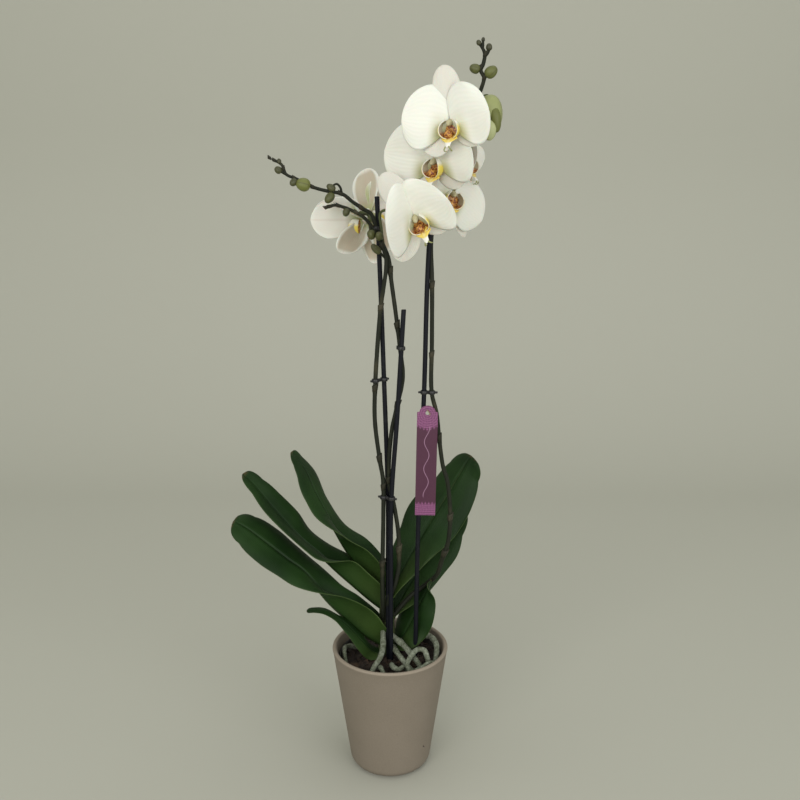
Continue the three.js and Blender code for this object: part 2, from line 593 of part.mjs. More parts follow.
// ---- plant tag ----
function tag() {
  const half = TAG_WIDTH / 2;
  const outline = new THREE.Shape();
  outline.moveTo(-half, TAG_BOTTOM);
  outline.lineTo(half, TAG_BOTTOM);
  outline.lineTo(half, TAG_TOP - 7);
  outline.lineTo(half - 2.5, TAG_TOP - 7);
  outline.absarc(0, TAG_TOP - 7, half - 2.5, 0, Math.PI, false);
  outline.lineTo(-half, TAG_TOP - 7);
  outline.closePath();
  const hole = new THREE.Path();
  hole.absarc(0, TAG_TOP - 8, TAG_HOLE_RADIUS, 0, 2 * Math.PI, true);
  outline.holes.push(hole);
  const geometry = mergeBare(new THREE.ExtrudeGeometry(outline, {
    depth: TAG_THICKNESS, bevelEnabled: false, curveSegments: 8,
  }));
  geometry.rotateX(Math.PI / 2);
  geometry.rotateY(degrees(1));
  geometry.translate(TAG_CENTRE[0], TAG_CENTRE[1], 0);
  return solidFrom(geometry);
}

// The loop that ties the tag to its stake.
function tagTie() {
  const points = [[39.5, -10.4, 419], [42.6, -9, 414], [41, -5.4, 410], [38, -5.2, 412], [36, -5.6, 416]];
  return stem(points, () => 0.6, 6, 10);
}

// ---- the parts list: earlier pieces keep their shape, later ones give way ----
const COLOURS = {
  pot: 0x8a7c6e, growPot: 0x3a3a36, bark: 0x241d18, stake: 0x15161c, clip: 0x121214,
  spike: 0x3a3d22, root: 0x8b9484, crown: 0x3d4a2a, leaf: 0x24401c, sepal: 0xf2efe2,
  petal: 0xf7f5ec, lip: 0xe9d36a, tag: 0x6a2450, tie: 0x9a8a62,
};
const ROUGHNESS = { pot: 0.75, leaf: 0.4, stake: 0.5, clip: 0.45 };

const crownPoints = [[CROWN[0], CROWN[1], 118], [CROWN[0], CROWN[1], 160],
  [CROWN[0] - 1, CROWN[1], CROWN_TOP_Z]];

const parts = [
  { name: 'cover_pot', colour: 'pot', make: coverPot },
  { name: 'grow_pot', colour: 'growPot', make: growPot },
  ...Object.entries(STAKES).map(([name, points]) => ({
    name: `stake_${name}`, colour: 'stake',
    make: (grow) => stem(points, () => STAKE_RADIUS + grow, 8, 8),
  })),
  {
    name: 'stem_base', colour: 'crown',
    make: (grow) => stem(crownPoints, (t) => CROWN_RADIUS - 3 * t + grow, 10, 5),
  },
  ...SPIKES.map((spike, i) => ({
    name: `flower_spike_${i + 1}`, colour: 'spike', make: (grow) => spikeBody(spike, grow),
  })),
  ...ROOTS.map(({ radius, line }, i) => ({
    name: `root_${i + 1}`, colour: 'root',
    make: (grow) => stem(line, (t) => radius * (1 - 0.25 * t) + grow, 6, line.length * 2),
  })),
  ...LEAVES.map(({ name, stations }) => ({
    name, colour: 'leaf', make: (grow) => leaf(stations, grow),
  })),
  { name: 'bark_mix', colour: 'bark', make: barkMix },
  ...FLOWERS.flatMap((flower, i) => [
    { name: `flower_${i + 1}_sepals`, colour: 'sepal', make: (grow) => sepals(flower, grow) },
    { name: `flower_${i + 1}_petal_left`, colour: 'petal', make: (grow) => petal(flower, -1, grow) },
    { name: `flower_${i + 1}_petal_right`, colour: 'petal', make: (grow) => petal(flower, 1, grow) },
    { name: `flower_${i + 1}_lip`, colour: 'lip', make: () => lip(flower) },
  ]),
  ...CLIPS.map((spec, i) => ({ name: `clip_${i + 1}`, colour: 'clip', make: () => clip(spec) })),
  { name: 'tag', colour: 'tag', make: tag },
  { name: 'tag_tie', colour: 'tie', make: tagTie },
];

function boxesTouch(a, b) {
  return [0, 1, 2].every((i) => a.min[i] < b.max[i] + GAP && b.min[i] < a.max[i] + GAP);
}

function largestBody(solid) {
  return solid.decompose().reduce((best, body) => (body.volume() > best.volume() ? body : best));
}

// Cuts a body clear of an earlier piece. Twisted surfaces may need more than one gap's clearance.
function giveWay(body, earlier) {
  let clear = body;
  for (let gap = GAP; gap < 4 && clear.intersect(earlier.body).volume() > 0; gap *= 2) {
    clear = clear.subtract(earlier.make(gap));
  }
  return clear;
}

const orchid = new THREE.Group();
const finished = [];
for (const part of parts) {
  let body = part.make(0);
  for (const earlier of finished) {
    if (boxesTouch(body.boundingBox(), earlier.box)) body = giveWay(body, earlier);
  }
  body = largestBody(body);
  finished.push({ ...part, body, box: body.boundingBox() });
  const { vertProperties, triVerts } = body.getMesh();
  const geometry = new THREE.BufferGeometry();
  geometry.setAttribute('position', new THREE.BufferAttribute(Float32Array.from(vertProperties), 3));
  geometry.setIndex(Array.from(triVerts));
  geometry.computeVertexNormals();
  const mesh = new THREE.Mesh(geometry, new THREE.MeshStandardMaterial({
    color: COLOURS[part.colour], roughness: ROUGHNESS[part.colour] ?? 0.6, metalness: 0,
  }));
  mesh.name = part.name;
  orchid.add(mesh);
}

export default orchid;
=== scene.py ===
import math

import bmesh
import bpy
import numpy as np
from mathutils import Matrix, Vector


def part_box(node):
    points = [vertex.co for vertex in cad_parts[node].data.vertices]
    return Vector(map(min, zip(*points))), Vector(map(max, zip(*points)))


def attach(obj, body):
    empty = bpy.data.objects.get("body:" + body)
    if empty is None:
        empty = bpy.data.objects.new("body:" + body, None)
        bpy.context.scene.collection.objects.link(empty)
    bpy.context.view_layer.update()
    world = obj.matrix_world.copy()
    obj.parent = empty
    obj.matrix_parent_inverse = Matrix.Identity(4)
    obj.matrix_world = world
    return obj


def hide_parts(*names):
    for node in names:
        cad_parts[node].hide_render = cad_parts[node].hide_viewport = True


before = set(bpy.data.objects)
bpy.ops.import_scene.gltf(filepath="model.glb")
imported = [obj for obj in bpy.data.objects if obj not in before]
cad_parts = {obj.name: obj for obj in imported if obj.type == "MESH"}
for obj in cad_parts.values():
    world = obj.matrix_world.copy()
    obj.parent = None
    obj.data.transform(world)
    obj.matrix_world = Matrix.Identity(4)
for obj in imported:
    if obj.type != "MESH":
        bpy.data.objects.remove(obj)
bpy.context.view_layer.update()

# ---- camera ----
# It stands in front of the plant, a little above the flowers' feet, and looks gently down.
camera_data = bpy.data.cameras.new("camera")
camera_data.lens = 40.5
camera_data.sensor_width = 36.0
camera = bpy.data.objects.new("camera", camera_data)
camera.location = (0.0112, -0.9264, 0.6502)
camera.rotation_euler = (math.radians(90 - 13.54), 0, 0)
bpy.context.scene.collection.objects.link(camera)
bpy.context.scene.camera = camera


# ---- cover pot ----
# The outer pot is turned and matte glazed stoneware, thick-walled, with a rounded lip and a rounded
# foot. It stands free on the ground and the planted nursery pot is set down into it.
MM = 0.001


class Wire:
    """A shader value. Sums written with it add Math nodes to its finish."""

    def __init__(self, finish, socket):
        self.finish = finish
        self.socket = socket

    def maths(self, operation, *values):
        return self.finish.node("Math", {"operation": operation}, values)

    def __add__(self, other):
        return self.maths("ADD", self, other)

    def __sub__(self, other):
        return self.maths("SUBTRACT", self, other)

    def __rsub__(self, other):
        return self.maths("SUBTRACT", other, self)

    def __mul__(self, other):
        return self.maths("MULTIPLY", self, other)

    def __pow__(self, other):
        return self.maths("POWER", self, other)

    __radd__ = __add__
    __rmul__ = __mul__

    def sine(self):
        return self.maths("SINE", self)

    def size(self):
        return self.maths("ABSOLUTE", self)

    def least(self, other):
        return self.maths("MINIMUM", self, other)

    def most(self, other):
        return self.maths("MAXIMUM", self, other)

    def step(self, low, high):
        """0 below low, 1 above high and a smooth rise between them; low may be the larger."""
        flip = low > high
        rise = self.finish.node("MapRange", {"interpolation_type": "SMOOTHSTEP"},
                                {"Value": self, "From Min": min(low, high), "From Max": max(low, high)})
        return 1 - rise if flip else rise


class Finish:
    """A material built from one Principled shader."""

    def __init__(self, name):
        self.material = bpy.data.materials.new(name)
        self.material.use_nodes = True
        self.tree = self.material.node_tree
        self.tree.nodes.clear()
        output = self.tree.nodes.new("ShaderNodeOutputMaterial")
        self.shader = self.tree.nodes.new("ShaderNodeBsdfPrincipled")
        self.tree.links.new(self.shader.outputs[0], output.inputs[0])

    def node(self, kind, settings=None, inputs=(), output=0):
        made = self.tree.nodes.new("ShaderNode" + kind)
        for key, value in (settings or {}).items():
            setattr(made, key, value)
        for key, value in inputs.items() if isinstance(inputs, dict) else enumerate(inputs):
            self.feed(made.inputs[key], value)
        return Wire(self, made.outputs[output])

    def feed(self, socket, value):
        if isinstance(value, Wire):
            self.tree.links.new(value.socket, socket)
        elif socket.type == "RGBA":
            socket.default_value = (*value[:3], 1)
        else:
            socket.default_value = value

    def place(self, stretch=(1, 1, 1)):
        """Object coordinates, stretched along each axis."""
        spot = self.node("TexCoord", output=3)
        return self.node("VectorMath", {"operation": "MULTIPLY"}, [spot, stretch])

    def own(self, attribute):
        """Three numbers that the piece carries at each of its points."""
        spot = self.node("Attribute", {"attribute_name": attribute}, output=1)
        split = self.tree.nodes.new("ShaderNodeSeparateXYZ")
        self.tree.links.new(spot.socket, split.inputs[0])
        return [Wire(self, socket) for socket in split.outputs]

    def noise(self, vector, scale, detail=3.0, roughness=0.5):
        return self.node("TexNoise", inputs={
            "Vector": vector, "Scale": scale, "Detail": detail, "Roughness": roughness})

    def mix(self, amount, first, second):
        return self.node("Mix", {"data_type": "RGBA"}, {0: amount, 6: first, 7: second}, output=2)

    def bump(self, height, distance, strength):
        return self.node("Bump", inputs={"Strength": strength, "Distance": distance, "Height": height})

    def surface(self, **sockets):
        for name, value in sockets.items():
            self.feed(self.shader.inputs[name.replace("_", " ")], value)
        return self.material


def placed(name, data):
    """An object with that mesh, curve, light or camera, put in the scene."""
    made = bpy.data.objects.new(name, data)
    bpy.context.scene.collection.objects.link(made)
    return made


def piece(name, points, faces, material, marks=None, smooth=True):
    """A mesh object that rides on the plant. marks are named triples carried by its points."""
    mesh = bpy.data.meshes.new(name)
    mesh.from_pydata([tuple(point) for point in points], [], [tuple(face) for face in faces])
    for label, values in (marks or {}).items():
        layer = mesh.attributes.new(label, "FLOAT_VECTOR", "POINT")
        layer.data.foreach_set("vector", np.asarray(values, dtype=np.float32).ravel())
    turned_out(mesh)
    mesh.polygons.foreach_set("use_smooth", [smooth] * len(mesh.polygons))
    mesh.materials.append(material)
    made = placed(name, mesh)
    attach(made, "root")
    return made


def turned_out(mesh):
    """Points every face outwards."""
    shape = bmesh.new()
    shape.from_mesh(mesh)
    bmesh.ops.recalc_face_normals(shape, faces=shape.faces)
    if shape.calc_volume(signed=True) < 0:
        bmesh.ops.reverse_faces(shape, faces=shape.faces)
    shape.to_mesh(mesh)
    shape.free()


def arc(centre, radius, start, end, steps):
    """Points of a round stretch, angles in degrees."""
    turns = np.radians(np.linspace(start, end, steps + 1))
    return [(centre[0] + radius * math.cos(t), centre[1] + radius * math.sin(t)) for t in turns]


def turned(profile, segments):
    """Spins a profile of radius and height, which starts and ends on the axis."""
    profile = np.array(profile)
    ring = np.arange(segments) * 2 * math.pi / segments
    points = [(0, 0, profile[0][1])]
    for radius, height in profile[1:-1]:
        points += [(radius * math.cos(t), radius * math.sin(t), height) for t in ring]
    points.append((0, 0, profile[-1][1]))
    rows = len(profile) - 2
    faces = []
    for k in range(segments):
        after = (k + 1) % segments
        faces.append((0, 1 + k, 1 + after))
        for row in range(rows - 1):
            low = 1 + row * segments
            faces.append((low + k, low + segments + k, low + segments + after, low + after))
        top = 1 + (rows - 1) * segments
        faces.append((top + k, len(points) - 1, top + after))
    return points, faces


POT_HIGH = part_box("cover_pot")[1]
POT_HEIGHT = POT_HIGH[2]
POT_RIM = POT_HIGH[0]
POT_FOOT = 44.7 * MM
POT_WALL = 4.7 * MM
POT_FLOOR = 7 * MM
FOOT_ROUND = 11 * MM


def pot_radius(height):
    return POT_FOOT + (POT_RIM - POT_FOOT) * height / POT_HEIGHT


def stoneware():
    glaze = Finish("matte_stoneware")
    place = glaze.place()
    height = glaze.node("SeparateXYZ", inputs=[place], output=2)
    cloud = glaze.noise(place, 28, 4)
    grain = glaze.noise(place, 900, 2, 0.6)
    speck = glaze.noise(place, 700, 1).step(0.70, 0.78)
    body = glaze.mix(cloud, (0.178, 0.148, 0.112), (0.215, 0.182, 0.143))
    body = glaze.mix(grain.step(0.3, 0.8) * 0.35, body, (0.27, 0.235, 0.19))
    body = glaze.mix(speck * 0.22, body, (0.10, 0.078, 0.056))
    lip = height.step(POT_HEIGHT - 3.2 * MM, POT_HEIGHT - 0.8 * MM)
    body = glaze.mix(lip * 0.55, body, (0.34, 0.285, 0.22))
    foot = height.step(9 * MM, 0.5 * MM)
    body = glaze.mix(foot * 0.35, body, (0.12, 0.098, 0.075))
    relief = grain * 0.35 + cloud * 0.4
    return glaze.surface(Base_Color=body, Roughness=0.62 + grain * 0.22 - lip * 0.12,
                         Normal=glaze.bump(relief, 0.35 * MM, 0.5), Specular_IOR_Level=0.35)


def cover_pot():
    lean = math.degrees(math.atan2(POT_RIM - POT_FOOT, POT_HEIGHT))
    foot = (pot_radius(FOOT_ROUND) - FOOT_ROUND / math.cos(math.radians(lean)), FOOT_ROUND)
    lip = POT_WALL / 2
    side = [(pot_radius(z), z) for z in np.linspace(FOOT_ROUND * 1.1, POT_HEIGHT - lip * 1.4, 14)]
    inside = [(pot_radius(z) - POT_WALL, z)
              for z in np.linspace(POT_HEIGHT - lip * 1.4, POT_FLOOR + 8 * MM, 10)]
    well = pot_radius(POT_FLOOR) - POT_WALL - 8 * MM
    profile = [(0, 0), (foot[0] * 0.5, 0)]
    profile += arc(foot, FOOT_ROUND, -90, -lean, 10)
    profile += side
    profile += arc((POT_RIM - lip, POT_HEIGHT - lip), lip, 0, 180, 14)
    profile += inside
    profile += arc((well, POT_FLOOR + 8 * MM), 8 * MM, 0, -90, 6)
    profile += [(0, POT_FLOOR)]
    made = piece("cover_pot_glazed", *turned(profile, 160), stoneware())
    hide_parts("cover_pot")


cover_pot()


# ---- nursery pot ----
# A thin dark plastic pot that the orchid was raised in. It stands inside the cover pot, and only its
# rim shows round the bark.
GROW_RIM_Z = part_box("grow_pot")[1][2]
GROW_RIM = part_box("grow_pot")[1][0]
GROW_WALL = 1.5 * MM
GROW_CLEARANCE = 1.2 * MM


def nursery_plastic():
    plastic = Finish("nursery_plastic")
    place = plastic.place()
    dust = plastic.noise(place, 60, 4).step(0.45, 0.75)
    colour = plastic.mix(dust, (0.016, 0.015, 0.013), (0.055, 0.047, 0.036))
    return plastic.surface(Base_Color=colour, Roughness=0.5 + dust * 0.3,
                           Normal=plastic.bump(plastic.noise(place, 300), 0.1 * MM, 0.4))


def grow_pot():
    foot_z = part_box("grow_pot")[0][2]
    radius = lambda z: pot_radius(z) - POT_WALL - GROW_CLEARANCE
    rim = GROW_WALL / 2
    profile = [(0, foot_z), (radius(foot_z) - 7 * MM, foot_z)]
    profile += [(radius(z), z) for z in np.linspace(foot_z + 7 * MM, GROW_RIM_Z - rim, 12)]
    profile += arc((radius(GROW_RIM_Z) - rim, GROW_RIM_Z - rim), rim, 0, 180, 6)[1:]
    profile += [(radius(z) - GROW_WALL, z) for z in np.linspace(GROW_RIM_Z - rim * 2, foot_z + 9 * MM, 8)]
    profile += [(0, foot_z + GROW_WALL)]
    made = piece("nursery_pot", *turned(profile, 120), nursery_plastic())
    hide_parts("grow_pot")


grow_pot()


# ---- bark mix ----
# Damp dark bark chips that fill the nursery pot and hold the roots. A packed bed carries a loose top
# layer of chips that lie every way up.
BARK_TOP = 127 * MM
BARK_RADIUS = GROW_RIM - 2.2 * MM
CHIP_SIZE = Vector((9 * MM, 5.5 * MM, 2.8 * MM))


class Tree:
    """A Geometry Nodes tree with named inputs, run once on an object."""

    def __init__(self, name, **inputs):
        self.tree = bpy.data.node_groups.new(name, "GeometryNodeTree")
        face = self.tree.interface
        face.new_socket("Geometry", in_out="INPUT", socket_type="NodeSocketGeometry")
        self.sockets = {}
        for label, (kind, value) in inputs.items():
            made = face.new_socket(label, in_out="INPUT", socket_type="NodeSocket" + kind)
            if value is not None:
                made.default_value = value
            self.sockets[label] = made.identifier
        face.new_socket("Geometry", in_out="OUTPUT", socket_type="NodeSocketGeometry")
        self.start = self.tree.nodes.new("NodeGroupInput")
        self.end = self.tree.nodes.new("NodeGroupOutput")

    def given(self, label):
        return self.start.outputs[label]

    def node(self, kind, settings=None, inputs=None, output=0):
        made = self.tree.nodes.new(kind)
        for key, value in (settings or {}).items():
            setattr(made, key, value)
        for key, value in (inputs or {}).items():
            if isinstance(value, bpy.types.NodeSocket):
                self.tree.links.new(value, made.inputs[key])
            else:
                made.inputs[key].default_value = value
        return made.outputs[output]

    def finish(self, geometry):
        real = self.node("GeometryNodeRealizeInstances", inputs={"Geometry": geometry})
        coated = self.node("GeometryNodeSetMaterial", inputs={
            "Geometry": real, "Material": self.given("Material")})
        self.tree.links.new(coated, self.end.inputs[0])

    def run(self, source, name, **values):
        """Applies the tree to an object and leaves a plain mesh object that rides on the plant."""
        modifier = source.modifiers.new(name, "NODES")
        modifier.node_group = self.tree
        for label, value in values.items():
            modifier[self.sockets[label]] = value
        solved = source.evaluated_get(bpy.context.evaluated_depsgraph_get())
        mesh = bpy.data.meshes.new_from_object(solved)
        mesh.name = name
        source.modifiers.remove(modifier)
        bpy.data.objects.remove(source)
        mesh.polygons.foreach_set("use_smooth", [True] * len(mesh.polygons))
        made = placed(name, mesh)
        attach(made, "root")
        return made


def damp_bark():
    bark = Finish("damp_bark")
    place = bark.place()
    broad = bark.noise(place, 45, 3)
    fibre = bark.noise(bark.place((1, 1, 3)), 260, 5, 0.65)
    pale = (broad * 0.6 + fibre * 0.55).step(0.56, 0.78)
    colour = bark.mix(fibre, (0.006, 0.0045, 0.004), (0.034, 0.02, 0.012))
    colour = bark.mix(pale * 0.55, colour, (0.12, 0.066, 0.034))
    return bark.surface(Base_Color=colour, Roughness=0.7 + fibre * 0.25,
                        Normal=bark.bump(fibre * 0.7 + broad, 1.2 * MM, 0.8))


def chip(material):
    """One bark chip: a flat block with broken corners."""
    mesh = bpy.data.meshes.new("bark_chip")
    shape = bmesh.new()
    bmesh.ops.create_cube(shape, size=1)
    bmesh.ops.subdivide_edges(shape, edges=shape.edges, cuts=1)
    rough = np.random.default_rng(4)
    for vertex in shape.verts:
        shrink = 1 - 0.22 * (vertex.co.length - 0.5)
        vertex.co = Vector([c * shrink * (1 + rough.uniform(-0.16, 0.16)) for c in vertex.co])
        vertex.co = vertex.co * CHIP_SIZE
    shape.to_mesh(mesh)
    shape.free()
    mesh.materials.append(material)
    return placed("bark_chip", mesh)


def bark_bed(radius, top, bottom):
    """A low mound with a lumpy top, closed by a flat underside."""
    rings, sectors = 14, 48
    points = [(0, 0, top)]
    for ring in range(1, rings + 1):
        r = radius * ring / rings
        for k in range(sectors):
            t = 2 * math.pi * k / sectors
            lump = 1.6 * MM * math.sin(3 * t + ring) * math.cos(5 * t - 0.7 * ring)
            points.append((r * math.cos(t), r * math.sin(t), top + lump - 1.5 * MM * (ring / rings) ** 4))
    points += [(0.75 * radius * math.cos(t), 0.75 * radius * math.sin(t), bottom)
               for t in np.arange(sectors) * 2 * math.pi / sectors]
    faces = []
    for k in range(sectors):
        after = (k + 1) % sectors
        faces.append((0, 1 + k, 1 + after))
        for ring in range(rings):
            low = 1 + ring * sectors
            faces.append((low + k, low + sectors + k, low + sectors + after, low + after))
    faces.append(tuple(range(len(points) - sectors, len(points))))
    return points, faces


def bark_mix():
    material = damp_bark()
    bed = piece("bark_bed", *bark_bed(BARK_RADIUS, BARK_TOP - 2 * MM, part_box("bark_mix")[0][2]), material)
    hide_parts("bark_mix")
    tree = Tree("scatter_chips", Spacing=("Float", 4.2 * MM), Seed=("Int", 7), Chip=("Object", None),
                Material=("Material", None))
    on_top = tree.node("GeometryNodeInputNormal")
    upward = tree.node("ShaderNodeSeparateXYZ", inputs={0: on_top}, output=2)
    level = tree.node("FunctionNodeCompare", {"operation": "GREATER_THAN"}, {0: upward, 1: 0.4})
    points = tree.node("GeometryNodeDistributePointsOnFaces", {"distribute_method": "POISSON"}, {
        "Mesh": tree.given("Geometry"), "Distance Min": tree.given("Spacing"),
        "Density Max": 90000.0, "Seed": tree.given("Seed"), "Selection": level})
    turn = tree.node("FunctionNodeRandomValue", {"data_type": "FLOAT_VECTOR"}, {
        0: (-0.7, -0.7, 0), 1: (0.7, 0.7, 6.28), "Seed": 3})
    size = tree.node("FunctionNodeRandomValue", {"data_type": "FLOAT"}, {2: 0.55, 3: 1.15, "Seed": 5},
                     output=1)
    thing = tree.node("GeometryNodeObjectInfo", inputs={"Object": tree.given("Chip")}, output=4)
    tree.finish(tree.node("GeometryNodeInstanceOnPoints", inputs={
        "Points": points, "Instance": thing, "Rotation": turn, "Scale": size}))
    source = placed("chip_bed", bed.data.copy())
    one = chip(material)
    loose = tree.run(source, "bark_chips", Chip=one, Material=material)
    loose.data.polygons.foreach_set("use_smooth", [False] * len(loose.data.polygons))
    bpy.data.objects.remove(one)


bark_mix()


# ---- stem base ----
# The short leafy stem that everything else grows from. Old leaf sheaths wrap it, and it is rooted in
# the bark near the middle of the pot.
CROWN = (-4, 14)
CROWN_RADIUS = 10.2


def curve_source(points, thickness):
    """A smooth path in millimetres; thickness is its radius at each point."""
    data = bpy.data.curves.new("path", "CURVE")
    data.dimensions = "3D"
    spline = data.splines.new("POLY")
    spline.points.add(len(points) - 1)
    for spot, place, radius in zip(spline.points, points, thickness):
        spot.co = (*[c * MM for c in place], 1)
        spot.radius = radius * MM
    return placed("path", data)


def smooth_path(points, per_span=8):
    """A rounded line through the given points, with as many steps between each pair."""
    spots = np.array(points, dtype=float)
    ends = np.vstack([2 * spots[0] - spots[1], spots, 2 * spots[-1] - spots[-2]])
    line = []
    for i in range(1, len(ends) - 2):
        before, start, stop, after = ends[i - 1:i + 3]
        knots = [0.0]
        for a, b in ((before, start), (start, stop), (stop, after)):
            knots.append(knots[-1] + max(1e-6, np.linalg.norm(b - a)) ** 0.5)
        for t in np.linspace(knots[1], knots[2], per_span, endpoint=False):
            blend = lambda p, q, u, v: ((v - t) * p + (t - u) * q) / (v - u)
            first = [blend(p, q, knots[n], knots[n + 1])
                     for n, (p, q) in enumerate(((before, start), (start, stop), (stop, after)))]
            second = [blend(first[n], first[n + 1], knots[n], knots[n + 2]) for n in range(2)]
            line.append(blend(second[0], second[1], knots[1], knots[2]))
    return np.array(line + [spots[-1]])


def round_stem_tree():
    """Skins a path with round rings, slightly uneven like something grown."""
    tree = Tree("round_stem", Sides=("Int", 14), Swell=("Float", 0.06), Grain=("Float", 90.0),
                Material=("Material", None))
    radius = tree.node("GeometryNodeInputRadius")
    place = tree.node("GeometryNodeInputPosition")
    noise = tree.node("ShaderNodeTexNoise", inputs={
        "Vector": place, "Scale": tree.given("Grain"), "Detail": 2.0})
    around = tree.node("ShaderNodeMath", {"operation": "SUBTRACT"}, {0: noise, 1: 0.5})
    swell = tree.node("ShaderNodeMath", {"operation": "MULTIPLY"}, {0: around, 1: tree.given("Swell")})
    factor = tree.node("ShaderNodeMath", {"operation": "MULTIPLY_ADD"}, {0: swell, 1: 2.0, 2: 1.0})
    scale = tree.node("ShaderNodeMath", {"operation": "MULTIPLY"}, {0: radius, 1: factor})
    ring = tree.node("GeometryNodeCurvePrimitiveCircle", inputs={
        "Resolution": tree.given("Sides"), "Radius": 1.0})
    tree.finish(tree.node("GeometryNodeCurveToMesh", inputs={
        "Curve": tree.given("Geometry"), "Profile Curve": ring, "Scale": scale, "Fill Caps": True}))
    return tree


ROUND_STEM = round_stem_tree()


def rounded_ends(line, radius, length):
    """Brings the last stretch of a stem to a blunt round tip."""
    reach = np.linalg.norm(line - line[-1], axis=1)
    shrink = np.clip(reach / length, 0, 1)
    return radius * np.sqrt(np.clip(1 - (1 - shrink) ** 2, 0.02, 1))


def crown_skin():
    skin = Finish("crown_skin")
    place = skin.place()
    streak = skin.noise(skin.place((1, 1, 0.15)), 220, 3)
    colour = skin.mix(streak, (0.03, 0.045, 0.016), (0.085, 0.11, 0.04))
    colour = skin.mix(skin.noise(place, 60).step(0.55, 0.75) * 0.5, colour, (0.11, 0.085, 0.045))
    return skin.surface(Base_Color=colour, Roughness=0.5, Normal=skin.bump(streak, 0.4 * MM, 0.6))


def stem_base():
    low, high = (corner[2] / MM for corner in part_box("stem_base"))
    line = smooth_path([(*CROWN, low), (*CROWN, (low + high) / 2), (CROWN[0] - 1, CROWN[1], high)])
    rise = np.linspace(0, 1, len(line))
    made = ROUND_STEM.run(curve_source(line, rounded_ends(line, CROWN_RADIUS - 3 * rise, 8)), "leafy_stem",
                          Sides=24, Swell=0.12, Grain=60.0, Material=crown_skin())
    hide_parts("stem_base")


stem_base()


# ---- aerial roots ----
# Silvery spongy roots that leave the stem's foot, loop over the bark and turn down into it. Each is
# a living tube with a slightly lumpy skin, and they lie across each other.
ROOTS = [
    (3.6, [(2, 6, 150), (14, -6, 146), (25, -17, 138), (31, -26, 134), (38, -30, 124)]),
    (3.2, [(2, 4, 140), (10, -16, 138), (18, -28, 134), (28, -33, 124)]),
    (3.6, [(30, 22, 142), (45, 16, 144), (52, 2, 142), (52, -12, 136), (48, -22, 126)]),
    (3.0, [(42, -20, 128), (42, -25, 137), (38, -18, 145), (31, -18, 146), (24, -27, 144), (19, -37, 137),
           (24, -44, 134), (34, -42, 137), (42, -36, 139), (50, -26, 134)]),
    (3.0, [(2, -18, 124), (2, -28, 133), (5, -40, 136), (10, -43, 136), (15, -36, 135), (20, -32, 126)]),
    (3.2, [(-8, 6, 158), (-8, -14, 146), (-11, -28, 141), (-17, -38, 136), (-24, -46, 124)]),
    (2.8, [(-12, -26, 128), (-10, -38, 135), (-7, -47, 134), (-4, -49, 124)]),
    (2.6, [(-30, 22, 124), (-45, 12, 134), (-51, 2, 138), (-51, -10, 136), (-47, -22, 124)]),
]


def root_skin():
    skin = Finish("root_skin")
    place = skin.place()
    broad = skin.noise(place, 55, 3)
    fine = skin.noise(place, 420, 4, 0.6)
    colour = skin.mix(broad.step(0.3, 0.75), (0.085, 0.10, 0.06), (0.235, 0.26, 0.195))
    colour = skin.mix(fine.step(0.48, 0.72) * 0.6, colour, (0.33, 0.355, 0.29))
    colour = skin.mix((1 - fine).step(0.5, 0.66) * 0.7, colour, (0.05, 0.052, 0.03))
    height = skin.node("SeparateXYZ", inputs=[place], output=2)
    colour = skin.mix(height.step(131 * MM, 124 * MM) * 0.7, colour, (0.055, 0.05, 0.032))
    return skin.surface(Base_Color=colour, Roughness=0.72 + fine * 0.2,
                        Normal=skin.bump(fine + broad * 0.8, 0.5 * MM, 0.7))


def aerial_roots():
    skin = root_skin()
    for number, (radius, route) in enumerate(ROOTS, 1):
        line = smooth_path(route, 12)
        share = np.linspace(0, 1, len(line))
        made = ROUND_STEM.run(curve_source(line, radius * (1 - 0.22 * share)), f"aerial_root_{number}",
                              Sides=16, Swell=0.28, Grain=110.0, Material=skin)
        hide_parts(f"root_{number}")


aerial_roots()


